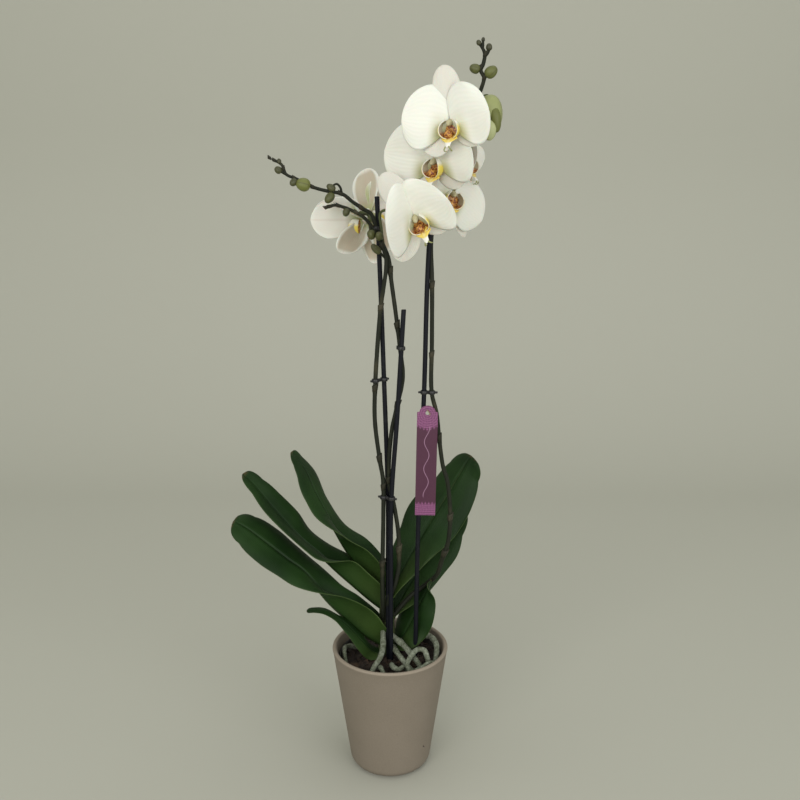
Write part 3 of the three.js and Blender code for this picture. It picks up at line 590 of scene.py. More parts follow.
# ---- leaves ----
# Thick strap leaves, folded along a keel where they leave the stem and opening towards the tip. Each
# is one living blade: dark and satin on top, paler along the midrib, the margins and underneath.
# A station is x, y, z of the keel, the angles of the near and the far half round it, and the width
# of a half. The angles run from 0, level towards the viewer, through 90, straight up.
LEAVES = [
    [(-8, 8, 136, 84, 100, 20), (-30, 5, 152, 80, 104, 30), (-51, 0, 175, 80, 106, 30),
     (-71, -3, 198, 62, 112, 25), (-94, -5, 231, -6, 142, 25), (-114, -6, 248, -12, 139, 26),
     (-132, -7, 264, -18, 137, 26), (-155, -8, 284, -25, 135, 19), (-170, -8, 293, -15, 150, 1.5)],
    [(-7, 12, 178, 85, 100, 18), (-24, 12, 192, 84, 105, 27), (-40, 12, 207, 84, 114, 28),
     (-59, 12, 225, 80, 128, 27), (-78, 11, 245, 24, 142, 23), (-95, 10, 261, 14, 140, 22),
     (-113, 8, 281, 12, 124, 23), (-132, 6, 306, 6, 122, 20), (-147, 5, 327, 6, 118, 14),
     (-160, 4, 343, 2, 130, 1.5)],
    [(-6, 16, 186, 85, 100, 16), (-20, 18, 205, 84, 108, 26), (-32, 20, 222, 84, 114, 30),
     (-47, 23, 242, 78, 121, 28), (-60, 26, 264, 50, 150, 22), (-75, 28, 294, -4, 158, 20),
     (-85, 29, 314, -8, 153, 20), (-94, 30, 336, -8, 151, 18), (-103, 30, 351, -4, 150, 12),
     (-110, 30, 360, 10, 150, 1.5)],
    [(-12, 4, 126, 50, 140, 10), (-22, 0, 134, -26, 146, 12), (-33, -4, 149, -26, 143, 12),
     (-46, -8, 167, -16, 153, 10), (-59, -10, 180, -4, 168, 7.5), (-72, -12, 189, -8, 165, 6),
     (-84, -13, 191, -8, 155, 4.5), (-92, -13, 190, -10, 150, 1.5)],
    [(0, 18, 186, 50, 110, 14), (11, 24, 210, 28, 135, 20), (23, 30, 233, 8, 128, 26),
     (39, 36, 260, -10, 125, 31), (52, 42, 283, -30, 130, 33), (66, 47, 304, -34, 147, 32),
     (82, 52, 331, -38, 143, 22), (93, 55, 348, -10, 150, 1.5)],
    [(4, 26, 160, 70, 115, 12), (14, 34, 180, 20, 120, 20), (25, 42, 198, -10, 130, 24),
     (40, 50, 219, -25, 130, 26), (56, 57, 240, -30, 130, 26), (70, 63, 259, -30, 135, 18),
     (84, 68, 281, -20, 140, 1.5)],
    [(8, 14, 134, 30, 139, 14), (16, 13, 145, -20, 130, 21), (25, 12, 164, -48, 125, 24),
     (34, 10, 185, -50, 138, 22), (42, 8, 204, -45, 147, 13), (46, 6, 218, 10, 150, 1.5)],
]
LEAF_THICKNESS = 2.3


def eased_rows(stations, share):
    """The stations' numbers at a share of the way along, rounded between stations."""
    rows = np.array(stations, dtype=float)
    spot = share * (len(rows) - 1)
    i = min(len(rows) - 2, int(spot))
    f = spot - i
    take = lambda n: rows[max(0, min(len(rows) - 1, n))]
    a, b, c, d = take(i - 1), take(i), take(i + 1), take(i + 2)
    return 0.5 * (2 * b + (c - a) * f + (2 * a - 5 * b + 4 * c - d) * f * f
                  + (3 * b - a - 3 * c + d) * f ** 3)


def closed_sheet(middle, thickness):
    """Gives a grid of points a thickness, in the grid's own units, and closes its rim."""
    along = np.gradient(middle, axis=0)
    across = np.gradient(middle, axis=1)
    normal = np.cross(along, across)
    normal /= np.maximum(1e-9, np.linalg.norm(normal, axis=2, keepdims=True))
    lift = normal * thickness[..., None] / 2
    rows, columns = middle.shape[:2]
    points = np.concatenate([(middle + lift).reshape(-1, 3), (middle - lift).reshape(-1, 3)])
    index = lambda side, r, c: side * rows * columns + r * columns + c
    faces = []
    for r in range(rows - 1):
        for c in range(columns - 1):
            faces.append((index(0, r, c), index(0, r, c + 1), index(0, r + 1, c + 1), index(0, r + 1, c)))
            faces.append((index(1, r, c), index(1, r + 1, c), index(1, r + 1, c + 1), index(1, r, c + 1)))
    for r in range(rows - 1):
        for c in (0, columns - 1):
            faces.append((index(0, r, c), index(0, r + 1, c), index(1, r + 1, c), index(1, r, c)))
    for c in range(columns - 1):
        for r in (0, rows - 1):
            faces.append((index(0, r, c), index(1, r, c), index(1, r, c + 1), index(0, r, c + 1)))
    return points, faces


def leaf_sheet(stations, seed):
    rows, half = 84, 13
    shares = 1 - (1 - np.linspace(0, 1, rows)) ** 1.25
    keels = np.array([eased_rows(stations, s)[:3] for s in shares])
    tangents = np.gradient(keels, axis=0)
    wave = np.random.default_rng(seed).uniform(0, 6.28, 4)
    middle = np.zeros((rows, 2 * half + 1, 3))
    marks = np.zeros((rows, 2 * half + 1, 3))
    thick = np.zeros((rows, 2 * half + 1))
    for r, share in enumerate(shares):
        _, _, _, near, far, width = eased_rows(stations, share)
        tangent = tangents[r] / np.linalg.norm(tangents[r])
        level = np.cross(tangent, (0, 0, 1))
        level *= -np.sign(level[1]) / np.linalg.norm(level)
        up = np.cross(level, tangent)
        up *= np.sign(up[2])
        last = share * (len(stations) - 1) - (len(stations) - 2)
        if last > 0:
            width = max(width, stations[-2][5] * math.sqrt(max(0, 1 - last ** 2.2)))
        width = max(0.6, width)
        for k in range(-half, half + 1):
            b = abs(k) / half
            side = near if k < 0 else far
            middle_angle = (near + far) / 2
            # the two halves meet in a rounded keel and their margins turn slightly outwards
            fold = 1 - math.exp(-(b / 0.13) ** 1.3)
            flare = (-1 if k < 0 else 1) * 13 * b * b * min(1, width / 14)
            angle = math.radians(middle_angle + (side - middle_angle) * fold + flare)
            ripple = 0.5 * math.sin(9 * share + wave[0] + (1.6 if k < 0 else 0)) * b * b
            reach = b * width * (1 + 0.012 * math.sin(17 * share + wave[1]))
            direction = level * math.cos(angle) + up * math.sin(angle)
            upright = -level * math.sin(angle) + up * math.cos(angle)
            middle[r, k + half] = keels[r] + direction * reach + upright * ripple
            marks[r, k + half] = (k / half, share, width / 30)
            body = LEAF_THICKNESS * min(1, 0.3 + width / 14) * (1 - 0.25 * share)
            thick[r, k + half] = body * (1.25 - 0.95 * b ** 1.6)
    points, faces = closed_sheet(middle, thick)
    return points * MM, faces, np.concatenate([marks.reshape(-1, 3)] * 2)


def leaf_skin():
    skin = Finish("leaf_skin")
    across, along, _ = skin.own("blade")
    place = skin.place()
    vein = (across * 95 + skin.noise(place, 30) * 3).sine() * 0.5 + 0.5
    cloud = skin.noise(place, 22, 3)
    fleck = skin.noise(place, 260, 3, 0.6)
    colour = skin.mix(cloud.step(0.3, 0.7), (0.006, 0.021, 0.004), (0.013, 0.039, 0.007))
    colour = skin.mix(vein * 0.2, colour, (0.02, 0.05, 0.01))
    base = along.step(0.5, 0.05) * across.step(0.1, -0.35)
    colour = skin.mix(base * 0.55, colour, (0.05, 0.085, 0.018))
    keel = across.size().step(0.05, 0.012)
    colour = skin.mix(keel * 0.55, colour, (0.12, 0.18, 0.06))
    margin = across.size().step(0.975, 1.0)
    colour = skin.mix(margin * 0.35, colour, (0.13, 0.18, 0.06))
    tip = along.step(0.965, 1.0) * fleck.step(0.35, 0.6)
    colour = skin.mix(tip * 0.8, colour, (0.11, 0.075, 0.035))
    colour = skin.mix(fleck.step(0.68, 0.8) * 0.3, colour, (0.09, 0.11, 0.05))
    relief = vein * 0.5 + cloud * 1.5 + keel * -1.2
    return skin.surface(Base_Color=colour, Roughness=0.38 + fleck * 0.16 + cloud * 0.1,
                        Normal=skin.bump(relief, 0.35 * MM, 0.55), Specular_IOR_Level=0.16)


def leaves():
    skin = leaf_skin()
    for number, stations in enumerate(LEAVES, 1):
        points, faces, marks = leaf_sheet(stations, number)
        made = piece(f"strap_leaf_{number}", points, faces, skin, {"blade": marks})
        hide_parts(f"leaf_{number}")


leaves()


# ---- stakes ----
# Three nearly straight plant stakes, coated near-black and cut off flat. They are pushed down through the
# bark and carry the weight of the flower spikes.
STAKES = {
    "tall": [(-2, 0, 100), (-2.2, 1, 220), (-2, 2.5, 315), (-6.5, 2.8, 474), (-12, 3, 637)],
    "short": [(1, -6, 100), (1.2, -7, 220), (1.8, -8.3, 315), (8, -8.3, 407), (15, -8, 524)],
    "right": [(28, -2, 100), (31.4, -2, 298), (36.6, -2, 436), (39.2, -2, 554), (42.5, 0, 622)],
}
STAKE_RADIUS = 2.5
STAKE_CHAMFER = 0.35


def stake_coat():
    coat = Finish("stake_coat")
    place = coat.place()
    streak = coat.noise(coat.place((1, 1, 0.06)), 600, 3)
    wear = coat.noise(place, 90, 4).step(0.6, 0.78)
    colour = coat.mix(streak, (0.003, 0.0035, 0.006), (0.008, 0.009, 0.014))
    colour = coat.mix(wear * 0.4, colour, (0.045, 0.045, 0.045))
    return coat.surface(Base_Color=colour, Roughness=0.45 + wear * 0.25 + streak * 0.1,
                        Specular_IOR_Level=0.16, Normal=coat.bump(streak, 0.15 * MM, 0.5))


def stakes():
    coat = stake_coat()
    for name, route in STAKES.items():
        line = smooth_path(route, 10)
        line = np.vstack([line, line[-1] + (0, 0, STAKE_CHAMFER)])
        girth = np.full(len(line), STAKE_RADIUS)
        girth[-1] = STAKE_RADIUS - STAKE_CHAMFER
        made = ROUND_STEM.run(curve_source(line, girth), f"plant_stake_{name}",
                              Sides=24, Swell=0.012, Grain=40.0, Material=coat)
        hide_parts(f"stake_{name}")


stakes()


# ---- flower spikes ----
# Each spike is one living stem: it rises from between the leaves, leans on its stake and arches over
# at the top. Short sheaths clasp its joints, and buds and flower stalks leave it on alternate sides.
# joints are heights, a bud is its place, half width, length and where it joins, in millimetres.
SPIKES = [
    {
        "line": [(-8, 8, 168), (-8, 0, 190), (-8.2, -3, 230), (-7, -4.2, 300), (-7, -4.2, 339),
                 (-10.3, -4.5, 361), (-15.5, -4.5, 407), (-14.6, -4.5, 449), (-13, -4.5, 475),
                 (-9, -4.8, 523), (-5.8, -6, 545), (-3, -7.6, 566), (-3.6, -8, 580), (-14.4, -8, 604),
                 (-25, -8.5, 617), (-35, -9, 623), (-45, -9.5, 627), (-53, -10, 629), (-62, -10, 627)],
        "tip": 1.5, "twigs": [], "joints": [238, 331, 361, 437, 522, 585],
        "buds": [((-17.5, -9.5, 600), 4.4, 5.0, (-19, -8.3, 611)),
                 ((-9.5, -12.5, 599), 4.2, 4.6, (-8, -8, 593)),
                 ((-13, -12.5, 586), 3.8, 6.5, (-4.2, -8, 577)),
                 ((-42.5, -10, 622), 3.6, 4.2, (-41, -9.4, 626))],
        "stalks": [(5, (-29, -8.7, 620))],
        "scales": [(-30, -8.8, 620.5), (-49, -9.8, 628), (-57, -10, 628.4), (-61, -10, 627.2)],
    },
    {
        "line": [(-3, 5, 168), (-1.5, 0, 197), (5.5, -2, 217), (9.8, -2.5, 238), (10.1, -2.8, 256),
                 (9.2, -2.9, 280), (4, -2.9, 314), (-0.6, -3, 336), (1.9, -3, 391), (6.8, -3, 415),
                 (9.5, -2.8, 427), (14.2, -2.8, 453), (11.6, -2.8, 480), (6.4, -3, 523), (2.2, -3, 554),
                 (0, -3, 574), (-4.7, -3, 587), (-11.5, -3.5, 601), (-17.6, -4.2, 620), (-25.3, -4.5, 625),
                 (-36, -5, 632), (-46, -5, 639.5), (-63, -5, 643), (-74, -5, 646), (-92, -5, 654.5),
                 (-102, -5, 659), (-106, -5, 668), (-116.4, -5, 674)],
        "tip": 1.35, "joints": [256, 336, 420, 505, 560],
        "twigs": [[(-47, -5, 640.2), (-48.2, -6, 646), (-51.5, -6.4, 649.5), (-55, -6.4, 648),
                   (-56.2, -6, 645)]],
        "buds": [((-109.5, -6, 663), 3.6, 3.9, (-103, -5, 659)),
                 ((-108.5, -5, 671.5), 2.2, 2.6, (-108, -5, 669)),
                 ((-94.5, -7, 651), 3.7, 4.2, (-91, -5, 654)), ((-85, -7.5, 649), 6.6, 7.2, (-76, -5, 646.5)),
                 ((-57.5, -6, 646), 3.6, 4.8, (-56, -6, 645)), ((-59, -7.5, 636), 4.4, 6.2, (-55, -5, 641))],
        "stalks": [(6, (-15, -4, 612)), (3, (-5, -3, 588), (-7.6, -4, 606), (-8, -5, 622))],
        "scales": [(-25.3, -4.5, 625), (-46, -5, 639.5), (-74, -5, 646), (-92, -5, 654.5), (-104, -5, 663),
                   (-112, -5, 671.5), (-116, -5, 673.6)],
    },
    {
        "line": [(4, 14, 172), (22, 18, 192), (40, 16, 208), (52.5, 8, 224), (57.4, 3, 243),
                 (64, -1, 267), (66, -2, 293), (65, -2.3, 315), (62, -2.5, 339), (57.5, -2.5, 354),
                 (53.3, -2.5, 383), (50, -2.5, 413), (44.6, -2.5, 436), (44.4, -2.5, 490),
                 (44, -2, 554), (43, 2, 594), (48, 8, 634), (60, 8, 672), (76, 6, 706), (86, 0, 728),
                 (92.4, -3.5, 746.4), (92.8, -4, 750), (89.4, -4, 756.8), (91.6, -4, 762),
                 (93.4, -4, 770.5)],
        "tip": 1.9, "joints": [250, 293, 383, 470, 548],
        "twigs": [[(93.4, -4, 770), (92, -4, 774.5), (90.3, -4, 777), (87.6, -4, 780.4)],
                  [(90.4, -4, 777), (91, -4, 781), (91.2, -4, 783.6)],
                  [(93.2, -4, 769.6), (96.4, -4, 773.4), (97, -4, 777)]],
        "buds": [((83.5, -5, 758), 4.7, 5.2, (89.6, -4, 756.5)), ((99.3, -6, 755), 5.7, 6.6, (92.8, -4, 750)),
                 ((87, -4, 781.8), 2.4, 2.7, (88.5, -4, 779)), ((91.2, -4, 784.6), 1.8, 2.2, (91, -4, 782)),
                 ((97, -4, 777.8), 3.1, 3.4, (97, -4, 774))],
        "opening": [((101, 3, 718), (0.2, 0, -1), 11.5, 17, 1.3),
                    ((104.5, -4, 711), (0.15, 0, -1), 6.0, 12.5, 0.95),
                    ((99.5, -4, 701), (-0.1, 0, -1), 7.0, 10, 1.7)],
        "stalks": [(1, (74, 5, 702)), (2, (57, 8, 668)), (4, (49, 8, 637)), (7, (67, 6, 688))],
        "hanging": [(83.5, 1.5, 722), (90, 3, 731), (97, 3, 734), (100, 3, 728)],
        "scales": [(48, 8, 634), (60, 8, 672), (76, 6, 706), (86, 0, 728), (92.6, -3.8, 748),
                   (89.4, -4, 756.8), (93.4, -4, 769.5)],
    },
]
SPIKE_RADIUS = 2.3

# Flowers: centre, turn to the right, tilt up, roll to the viewer's left and size. Each blade has its
# aim clockwise from the flower's own up, its length, how full it is, how far it bends forward and, on
# one sepal, how far it twists.
FLOWERS = [
    {"at": (58, -48, 705), "turn": -8, "tilt": 0, "roll": 4, "size": 0.98,
     "dorsal": (-3, 52, 0.84, 8), "laterals": ((-137, 35, 1.0, 4), (122, 35, 0.8, 10)),
     "petals": ((-81, 46, 1.0, 14), (79, 43, 1.0, 28))},
    {"at": (46, -20, 671), "turn": -22, "tilt": -4, "roll": 2, "size": 1.02,
     "dorsal": (0, 50, 1.0, 4), "laterals": ((-140, 40, 1.0, 4), (128, 34, 1.0, 4)),
     "petals": ((-78, 51, 1.02, 10), (76, 45, 1.0, 22))},
    {"at": (25, -46, 619), "turn": 10, "tilt": -14, "roll": 34, "size": 1.0,
     "dorsal": (-7, 53, 0.84, -40), "laterals": ((-132, 46, 1.0, 2), (140, 36, 0.9, 2)),
     "petals": ((-66, 46, 1.16, 47), (84, 41, 1.08, 34))},
    {"at": (63, 18, 640), "turn": 38, "tilt": -6, "roll": -16, "size": 1.0,
     "dorsal": (0, 50, 1.0, 6), "laterals": ((-158, 40, 1.0, 6), (136, 50, 0.55, 6)),
     "petals": ((-80, 46, 1.0, 8), (108, 49, 0.82, 8))},
    {"at": (-28, 26, 613), "turn": -84, "tilt": 0, "roll": -10, "size": 1.0,
     "dorsal": (0, 46, 1.0, 62), "laterals": ((-144, 46, 1.25, 40), (144, 44, 1.25, 36, 52)),
     "petals": ((-84, 56, 0.70, 78), (76, 56, 0.70, 78))},
    {"at": (-21, 36, 620), "turn": 145, "tilt": -4, "roll": -12, "size": 1.02,
     "dorsal": (8, 49, 1.1, 18), "laterals": ((-160, 43.7, 1.0, 18), (172, 52, 0.9, 14)),
     "petals": ((-80, 46, 1.0, 50), (80, 46, 1.0, 50))},
    {"at": (79, 30, 674), "turn": 80, "tilt": -6, "roll": 0, "size": 0.9,
     "dorsal": (0, 38, 0.8, 24), "laterals": ((-140, 30, 0.8, 30), (140, 26, 0.8, 30)),
     "petals": ((-80, 32, 0.62, 30), (80, 28, 0.5, 40))},
]


def flower_frame(number):
    """The flower's centre and its forward, up and right directions, in millimetres."""
    flower = FLOWERS[number - 1]
    turn, tilt, roll = (math.radians(flower[key]) for key in ("turn", "tilt", "roll"))
    face = np.array((math.sin(turn) * math.cos(tilt), -math.cos(turn) * math.cos(tilt), math.sin(tilt)))
    level = np.array((math.cos(turn), math.sin(turn), 0))
    upright = -np.cross(level, face)
    up = upright * math.cos(roll) - level * math.sin(roll)
    right = level * math.cos(roll) + upright * math.sin(roll)
    return np.array(flower["at"], dtype=float), face, up, right, flower["size"]


def stem_skin(name, dark, mid, pale):
    skin = Finish(name)
    place = skin.place()
    streak = skin.noise(skin.place((1, 1, 0.12)), 420, 3)
    cloud = skin.noise(place, 34, 3)
    colour = skin.mix(streak, dark, mid)
    colour = skin.mix(cloud.step(0.52, 0.72) * 0.75, colour, pale)
    colour = skin.mix(skin.noise(place, 700, 2).step(0.62, 0.7) * 0.25, colour, (0.012, 0.012, 0.01))
    return skin.surface(Base_Color=colour, Roughness=0.5 + streak * 0.2, Specular_IOR_Level=0.2,
                        Normal=skin.bump(streak + cloud, 0.2 * MM, 0.5))


def bud_skin():
    skin = Finish("bud_skin")
    across, along, young = skin.own("blade")
    place = skin.place()
    cloud = skin.noise(place, 130, 3)
    colour = skin.mix(cloud.step(0.3, 0.7), (0.028, 0.029, 0.012), (0.066, 0.066, 0.026))
    colour = skin.mix((young * 1.3 - 0.6).least(1).most(0), colour, (0.20, 0.225, 0.045))
    colour = skin.mix((young - 1).least(1).most(0), colour, (0.58, 0.62, 0.34))
    seam = (across * 3).sine().size().step(0.22, 0.0)
    colour = skin.mix(seam * 0.5, colour, (0.05, 0.045, 0.02))
    colour = skin.mix(along.step(0.86, 1.0) * 0.5, colour, (0.09, 0.06, 0.035))
    return skin.surface(Base_Color=colour, Roughness=0.5, Normal=skin.bump(cloud - seam, 0.3 * MM, 0.6))


def bud_shape(centre, direction, half, length, young):
    """An egg with three shallow seams where its sepals meet."""
    rows, sectors = 14, 18
    axis = np.array(direction, dtype=float) / np.linalg.norm(direction)
    side = np.cross(axis, (0.3, 1, 0.2))
    side /= np.linalg.norm(side)
    third = np.cross(axis, side)
    points = [np.array(centre) - axis * length]
    marks = [(0, 0, young)]
    for row in range(1, rows):
        t = math.pi * row / rows
        for k in range(sectors):
            turn = 2 * math.pi * k / sectors
            seam = 1 - 0.07 * max(0, 1 - abs(math.sin(1.5 * turn)) * 4) * math.sin(t)
            reach = half * math.sin(t) ** 0.85 * seam * (1 + 0.12 * math.cos(t))
            points.append(np.array(centre) - axis * length * math.cos(t)
                          + (side * math.cos(turn) + third * math.sin(turn)) * reach)
            marks.append((turn / 2, row / rows, young))
    points.append(np.array(centre) + axis * length)
    marks.append((0, 1, young))
    faces = [(0, 1 + k, 1 + (k + 1) % sectors) for k in range(sectors)]
    for row in range(rows - 2):
        low = 1 + row * sectors
        faces += [(low + k, low + (k + 1) % sectors, low + sectors + (k + 1) % sectors, low + sectors + k)
                  for k in range(sectors)]
    top = 1 + (rows - 2) * sectors
    faces += [(top + k, len(points) - 1, top + (k + 1) % sectors) for k in range(sectors)]
    return np.array(points) * MM, faces, np.array(marks)


def joined(shapes):
    """Several shapes as one set of points, faces and marks."""
    points, faces, marks = [], [], []
    start = 0
    for spots, sides, labels in shapes:
        points.append(spots)
        marks.append(labels)
        faces += [tuple(i + start for i in side) for side in sides]
        start += len(spots)
    return np.concatenate(points), faces, np.concatenate(marks)


def sheath_tree():
    """Clasps a short flared sheath round the stem at each given point."""
    tree = Tree("clasping_sheaths", Flare=("Float", 1.25), Material=("Material", None))
    cone = tree.node("GeometryNodeMeshCone", {"fill_type": "NGON"}, {
        "Vertices": 16, "Side Segments": 3, "Radius Top": tree.given("Flare"), "Radius Bottom": 0.96,
        "Depth": 2.4})
    place = tree.node("GeometryNodeInputPosition")
    split = tree.node("ShaderNodeSeparateXYZ", inputs={0: place}, output=0)
    lean = tree.node("ShaderNodeMath", {"operation": "MULTIPLY"}, {0: split, 1: 0.5})
    shift = tree.node("ShaderNodeCombineXYZ", inputs={2: lean})
    slanted = tree.node("GeometryNodeSetPosition", inputs={"Geometry": cone, "Offset": shift})
    aim = tree.node("GeometryNodeInputNamedAttribute", {"data_type": "FLOAT_VECTOR"}, {"Name": "aim"})
    girth = tree.node("GeometryNodeInputNamedAttribute", {"data_type": "FLOAT"}, {"Name": "girth"})
    turn = tree.node("FunctionNodeAlignRotationToVector", {"axis": "Z"}, {"Vector": aim})
    tree.finish(tree.node("GeometryNodeInstanceOnPoints", inputs={
        "Points": tree.given("Geometry"), "Instance": slanted, "Rotation": turn, "Scale": girth}))
    return tree


def joint_points(line, girth, heights, places):
    """A point on the stem at each joint, with the stem's direction and girth there."""
    spots = [int(np.argmin(np.abs(line[:, 2] - height))) for height in heights]
    spots += [int(np.argmin(np.linalg.norm(line - np.array(place), axis=1))) for place in places]
    tangents = np.gradient(line, axis=0)
    mesh = bpy.data.meshes.new("joints")
    mesh.from_pydata([tuple(line[i] * MM) for i in spots], [], [])
    aim = mesh.attributes.new("aim", "FLOAT_VECTOR", "POINT")
    aim.data.foreach_set("vector", np.concatenate([tangents[i] for i in spots]).astype(np.float32))
    size = mesh.attributes.new("girth", "FLOAT", "POINT")
    size.data.foreach_set("value", np.array([girth[i] * MM for i in spots], dtype=np.float32))
    return placed("joints", mesh)


def merged(name, pieces):
    """Joins plain mesh objects into one piece."""
    shape = bmesh.new()
    materials = []
    for part in pieces:
        slots = []
        for material in part.data.materials:
            if material not in materials:
                materials.append(material)
            slots.append(materials.index(material))
        start = len(shape.faces)
        shape.from_mesh(part.data)
        shape.faces.ensure_lookup_table()
        for face in shape.faces[start:]:
            face.material_index = slots[face.material_index] if slots else 0
    mesh = bpy.data.meshes.new(name)
    shape.to_mesh(mesh)
    shape.free()
    for material in materials:
        mesh.materials.append(material)
    made = placed(name, mesh)
    for part in pieces:
        bpy.data.objects.remove(part)
    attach(made, "root")
    return made


def stalk_route(number, start, *via):
    """From the spike to the back of the flower, meeting it square on."""
    centre, face, _, _, size = flower_frame(number)
    back = centre - face * 15 * size
    via = via or [np.array(start) * 0.45 + back * 0.55 + (0, 0, 3)]
    return smooth_path([start, *via, back, centre - face * 3.4 * size], 8)


def flower_spikes():
    dark = stem_skin("spike_skin", (0.006, 0.008, 0.005), (0.021, 0.024, 0.013), (0.045, 0.042, 0.023))
    green = stem_skin("stalk_skin", (0.05, 0.06, 0.025), (0.12, 0.14, 0.055), (0.2, 0.22, 0.1))
    husk = stem_skin("sheath_skin", (0.014, 0.014, 0.009), (0.036, 0.034, 0.02), (0.075, 0.066, 0.042))
    buds = bud_skin()
    sheaths = sheath_tree()
    for number, spike in enumerate(SPIKES, 1):
        line = smooth_path(spike["line"], 7)
        steps = np.linalg.norm(np.diff(line, axis=0), axis=1)
        share = np.concatenate([[0], np.cumsum(steps)]) / steps.sum()
        ease = np.clip((share - 0.55) / 0.45, 0, 1) ** 2
        girth = SPIKE_RADIUS + 0.45 * np.clip(1 - share * 4, 0, 1)
        girth = girth * (1 - ease) + spike["tip"] * ease
        for height in spike["joints"]:
            girth = girth * (1 + 0.16 * np.exp(-((line[:, 2] - height) / 2.4) ** 2))
        parts = [ROUND_STEM.run(curve_source(line, rounded_ends(line, girth, 2)), "spike_stem",
                                Sides=14, Swell=0.10, Grain=130.0, Material=dark)]
        for twig in spike["twigs"]:
            route = smooth_path(twig, 8)
            parts.append(ROUND_STEM.run(curve_source(route, np.linspace(spike["tip"], 1.0, len(route))),
                                        "spike_twig", Sides=10, Swell=0.1, Grain=130.0, Material=dark))
        for flower, *places in spike["stalks"]:
            route = stalk_route(flower, *places)
            parts.append(ROUND_STEM.run(curve_source(route, np.linspace(1.35, 1.5, len(route))),
                                        "flower_stalk", Sides=12, Swell=0.08, Grain=130.0, Material=green))
        if "hanging" in spike:
            route = smooth_path(spike["hanging"], 8)
            parts.append(ROUND_STEM.run(curve_source(route, np.full(len(route), 1.4)), "bud_stalk",
                                        Sides=10, Swell=0.08, Grain=130.0, Material=green))
        for centre, half, length, start in spike["buds"]:
            route = smooth_path([start, (np.array(start) + np.array(centre)) / 2 + (0, -0.6, 0.3), centre], 4)
            parts.append(ROUND_STEM.run(curve_source(route, np.linspace(1.15, 1.5, len(route))),
                                        "bud_stalk", Sides=10, Swell=0.08, Grain=130.0, Material=dark))
        parts.append(sheaths.run(joint_points(line, girth * 1.1, spike["joints"], spike["scales"]),
                                 "spike_sheaths", Flare=1.2, Material=husk))
        eggs = [bud_shape(centre, np.array(centre) - np.array(start), half, length, min(1, half / 7))
                for centre, half, length, start in spike["buds"]]
        eggs += [bud_shape(*sepal) for sepal in spike.get("opening", [])]
        points, faces, marks = joined(eggs)
        parts.append(piece("spike_buds", points, faces, buds, {"blade": marks}))
        made = merged(f"spike_{number}_with_buds", parts)
        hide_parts(f"flower_spike_{number}")


flower_spikes()


# ---- flowers ----
# Three sepals behind and two broad petals in front, fleshy and white, all joined at the back of the
# column. A petal is a thin sheet on a narrow claw; the sepals share one hub on the end of the stalk.
BLADES = {
    "petal": {"edges": ((33, 6.0, 0.40, 0.3), (27, 4.5, 0.62, 0.9)), "curl": 0.08, "bow": 0.12},
    "dorsal": {"edges": ((16.5, 4.0, 0.58, 0.9),) * 2, "curl": 0.05, "bow": 0.1},
    "lateral": {"edges": ((14.5, 4.0, 0.58, 0.9),) * 2, "curl": 0.05, "bow": 0.1},
}
SEPAL_LIFT = -1.6
PETAL_LIFT = {"left": 1.6, "right": 3.4}


def edge_reach(share, edge):
    """Half width along a petal: a narrow claw widens past its shoulder, then closes in a round tip."""
    half, claw, widest, shoulder = edge
    if share < widest:
        return claw + (half - claw) * math.sin(math.pi / 2 * share / widest) ** shoulder
    return half * math.sqrt(max(0, 1 - ((share - widest) / (1 - widest)) ** 2))


def petal_sheet(number, kind, blade, side, lift, seed, rows=40, half=12):
    """One petal or sepal of a flower, starting a little in front of or behind its middle."""
    centre, face, up, right, size = flower_frame(number)
    aim, length, fullness, bend, *twist = blade
    edges, curl, bow = (BLADES[kind][key] for key in ("edges", "curl", "bow"))
    aim, bend = math.radians(aim), math.radians(bend)
    along = up * math.cos(aim) + right * math.sin(aim)
    over = (up * math.sin(aim) - right * math.cos(aim)) * side
    if twist:
        over = over * math.cos(math.radians(twist[0])) + face * math.sin(math.radians(twist[0]))
    wave = np.random.default_rng(seed).uniform(0, 2 * math.pi, 4)
    middle = np.zeros((rows, 2 * half + 1, 3))
    marks = np.zeros((rows, 2 * half + 1, 3))
    thick = np.zeros((rows, 2 * half + 1))
    for r in range(rows):
        share = 0.9985 * math.sin(math.pi / 2 * r / (rows - 1)) ** 1.15
        reach = 1 + share * length * math.cos(bend)
        rise = lift + length * (share * math.sin(bend) - curl * share * share)
        for k in range(-half, half + 1):
            b = k / half
            full, *margin = edges[0] if b > 0 else edges[1]
            width = edge_reach(share, (full * fullness, *margin))
            width *= 1 + 0.018 * math.sin(7 * share + wave[0] + b) * min(1, share * 3)
            frill = 0.9 * math.sin(8.5 * share + wave[1] + 2.2 * b) * abs(b) ** 3 * min(1, share * 2)
            swell = 0.7 * math.sin(4 * share + wave[2]) * math.sin(3.2 * b + wave[3])
            crease = -0.55 * math.exp(-(b / 0.07) ** 2) * (1 - share)
            out = rise - bow * b * b * width + (frill + swell + crease) * width / 24
            middle[r, k + half] = (centre + along * reach * size + over * b * width * size
                                   + face * out * size)
            marks[r, k + half] = (b, share, 0)
            thick[r, k + half] = 1.0 - 0.25 * share - 0.4 * b * b
    points, faces = closed_sheet(middle, thick)
    front, back = marks.reshape(-1, 3).copy(), marks.reshape(-1, 3)
    (front if side > 0 else back)[:, 2] = 1
    return points * MM, faces, np.concatenate([front, back])


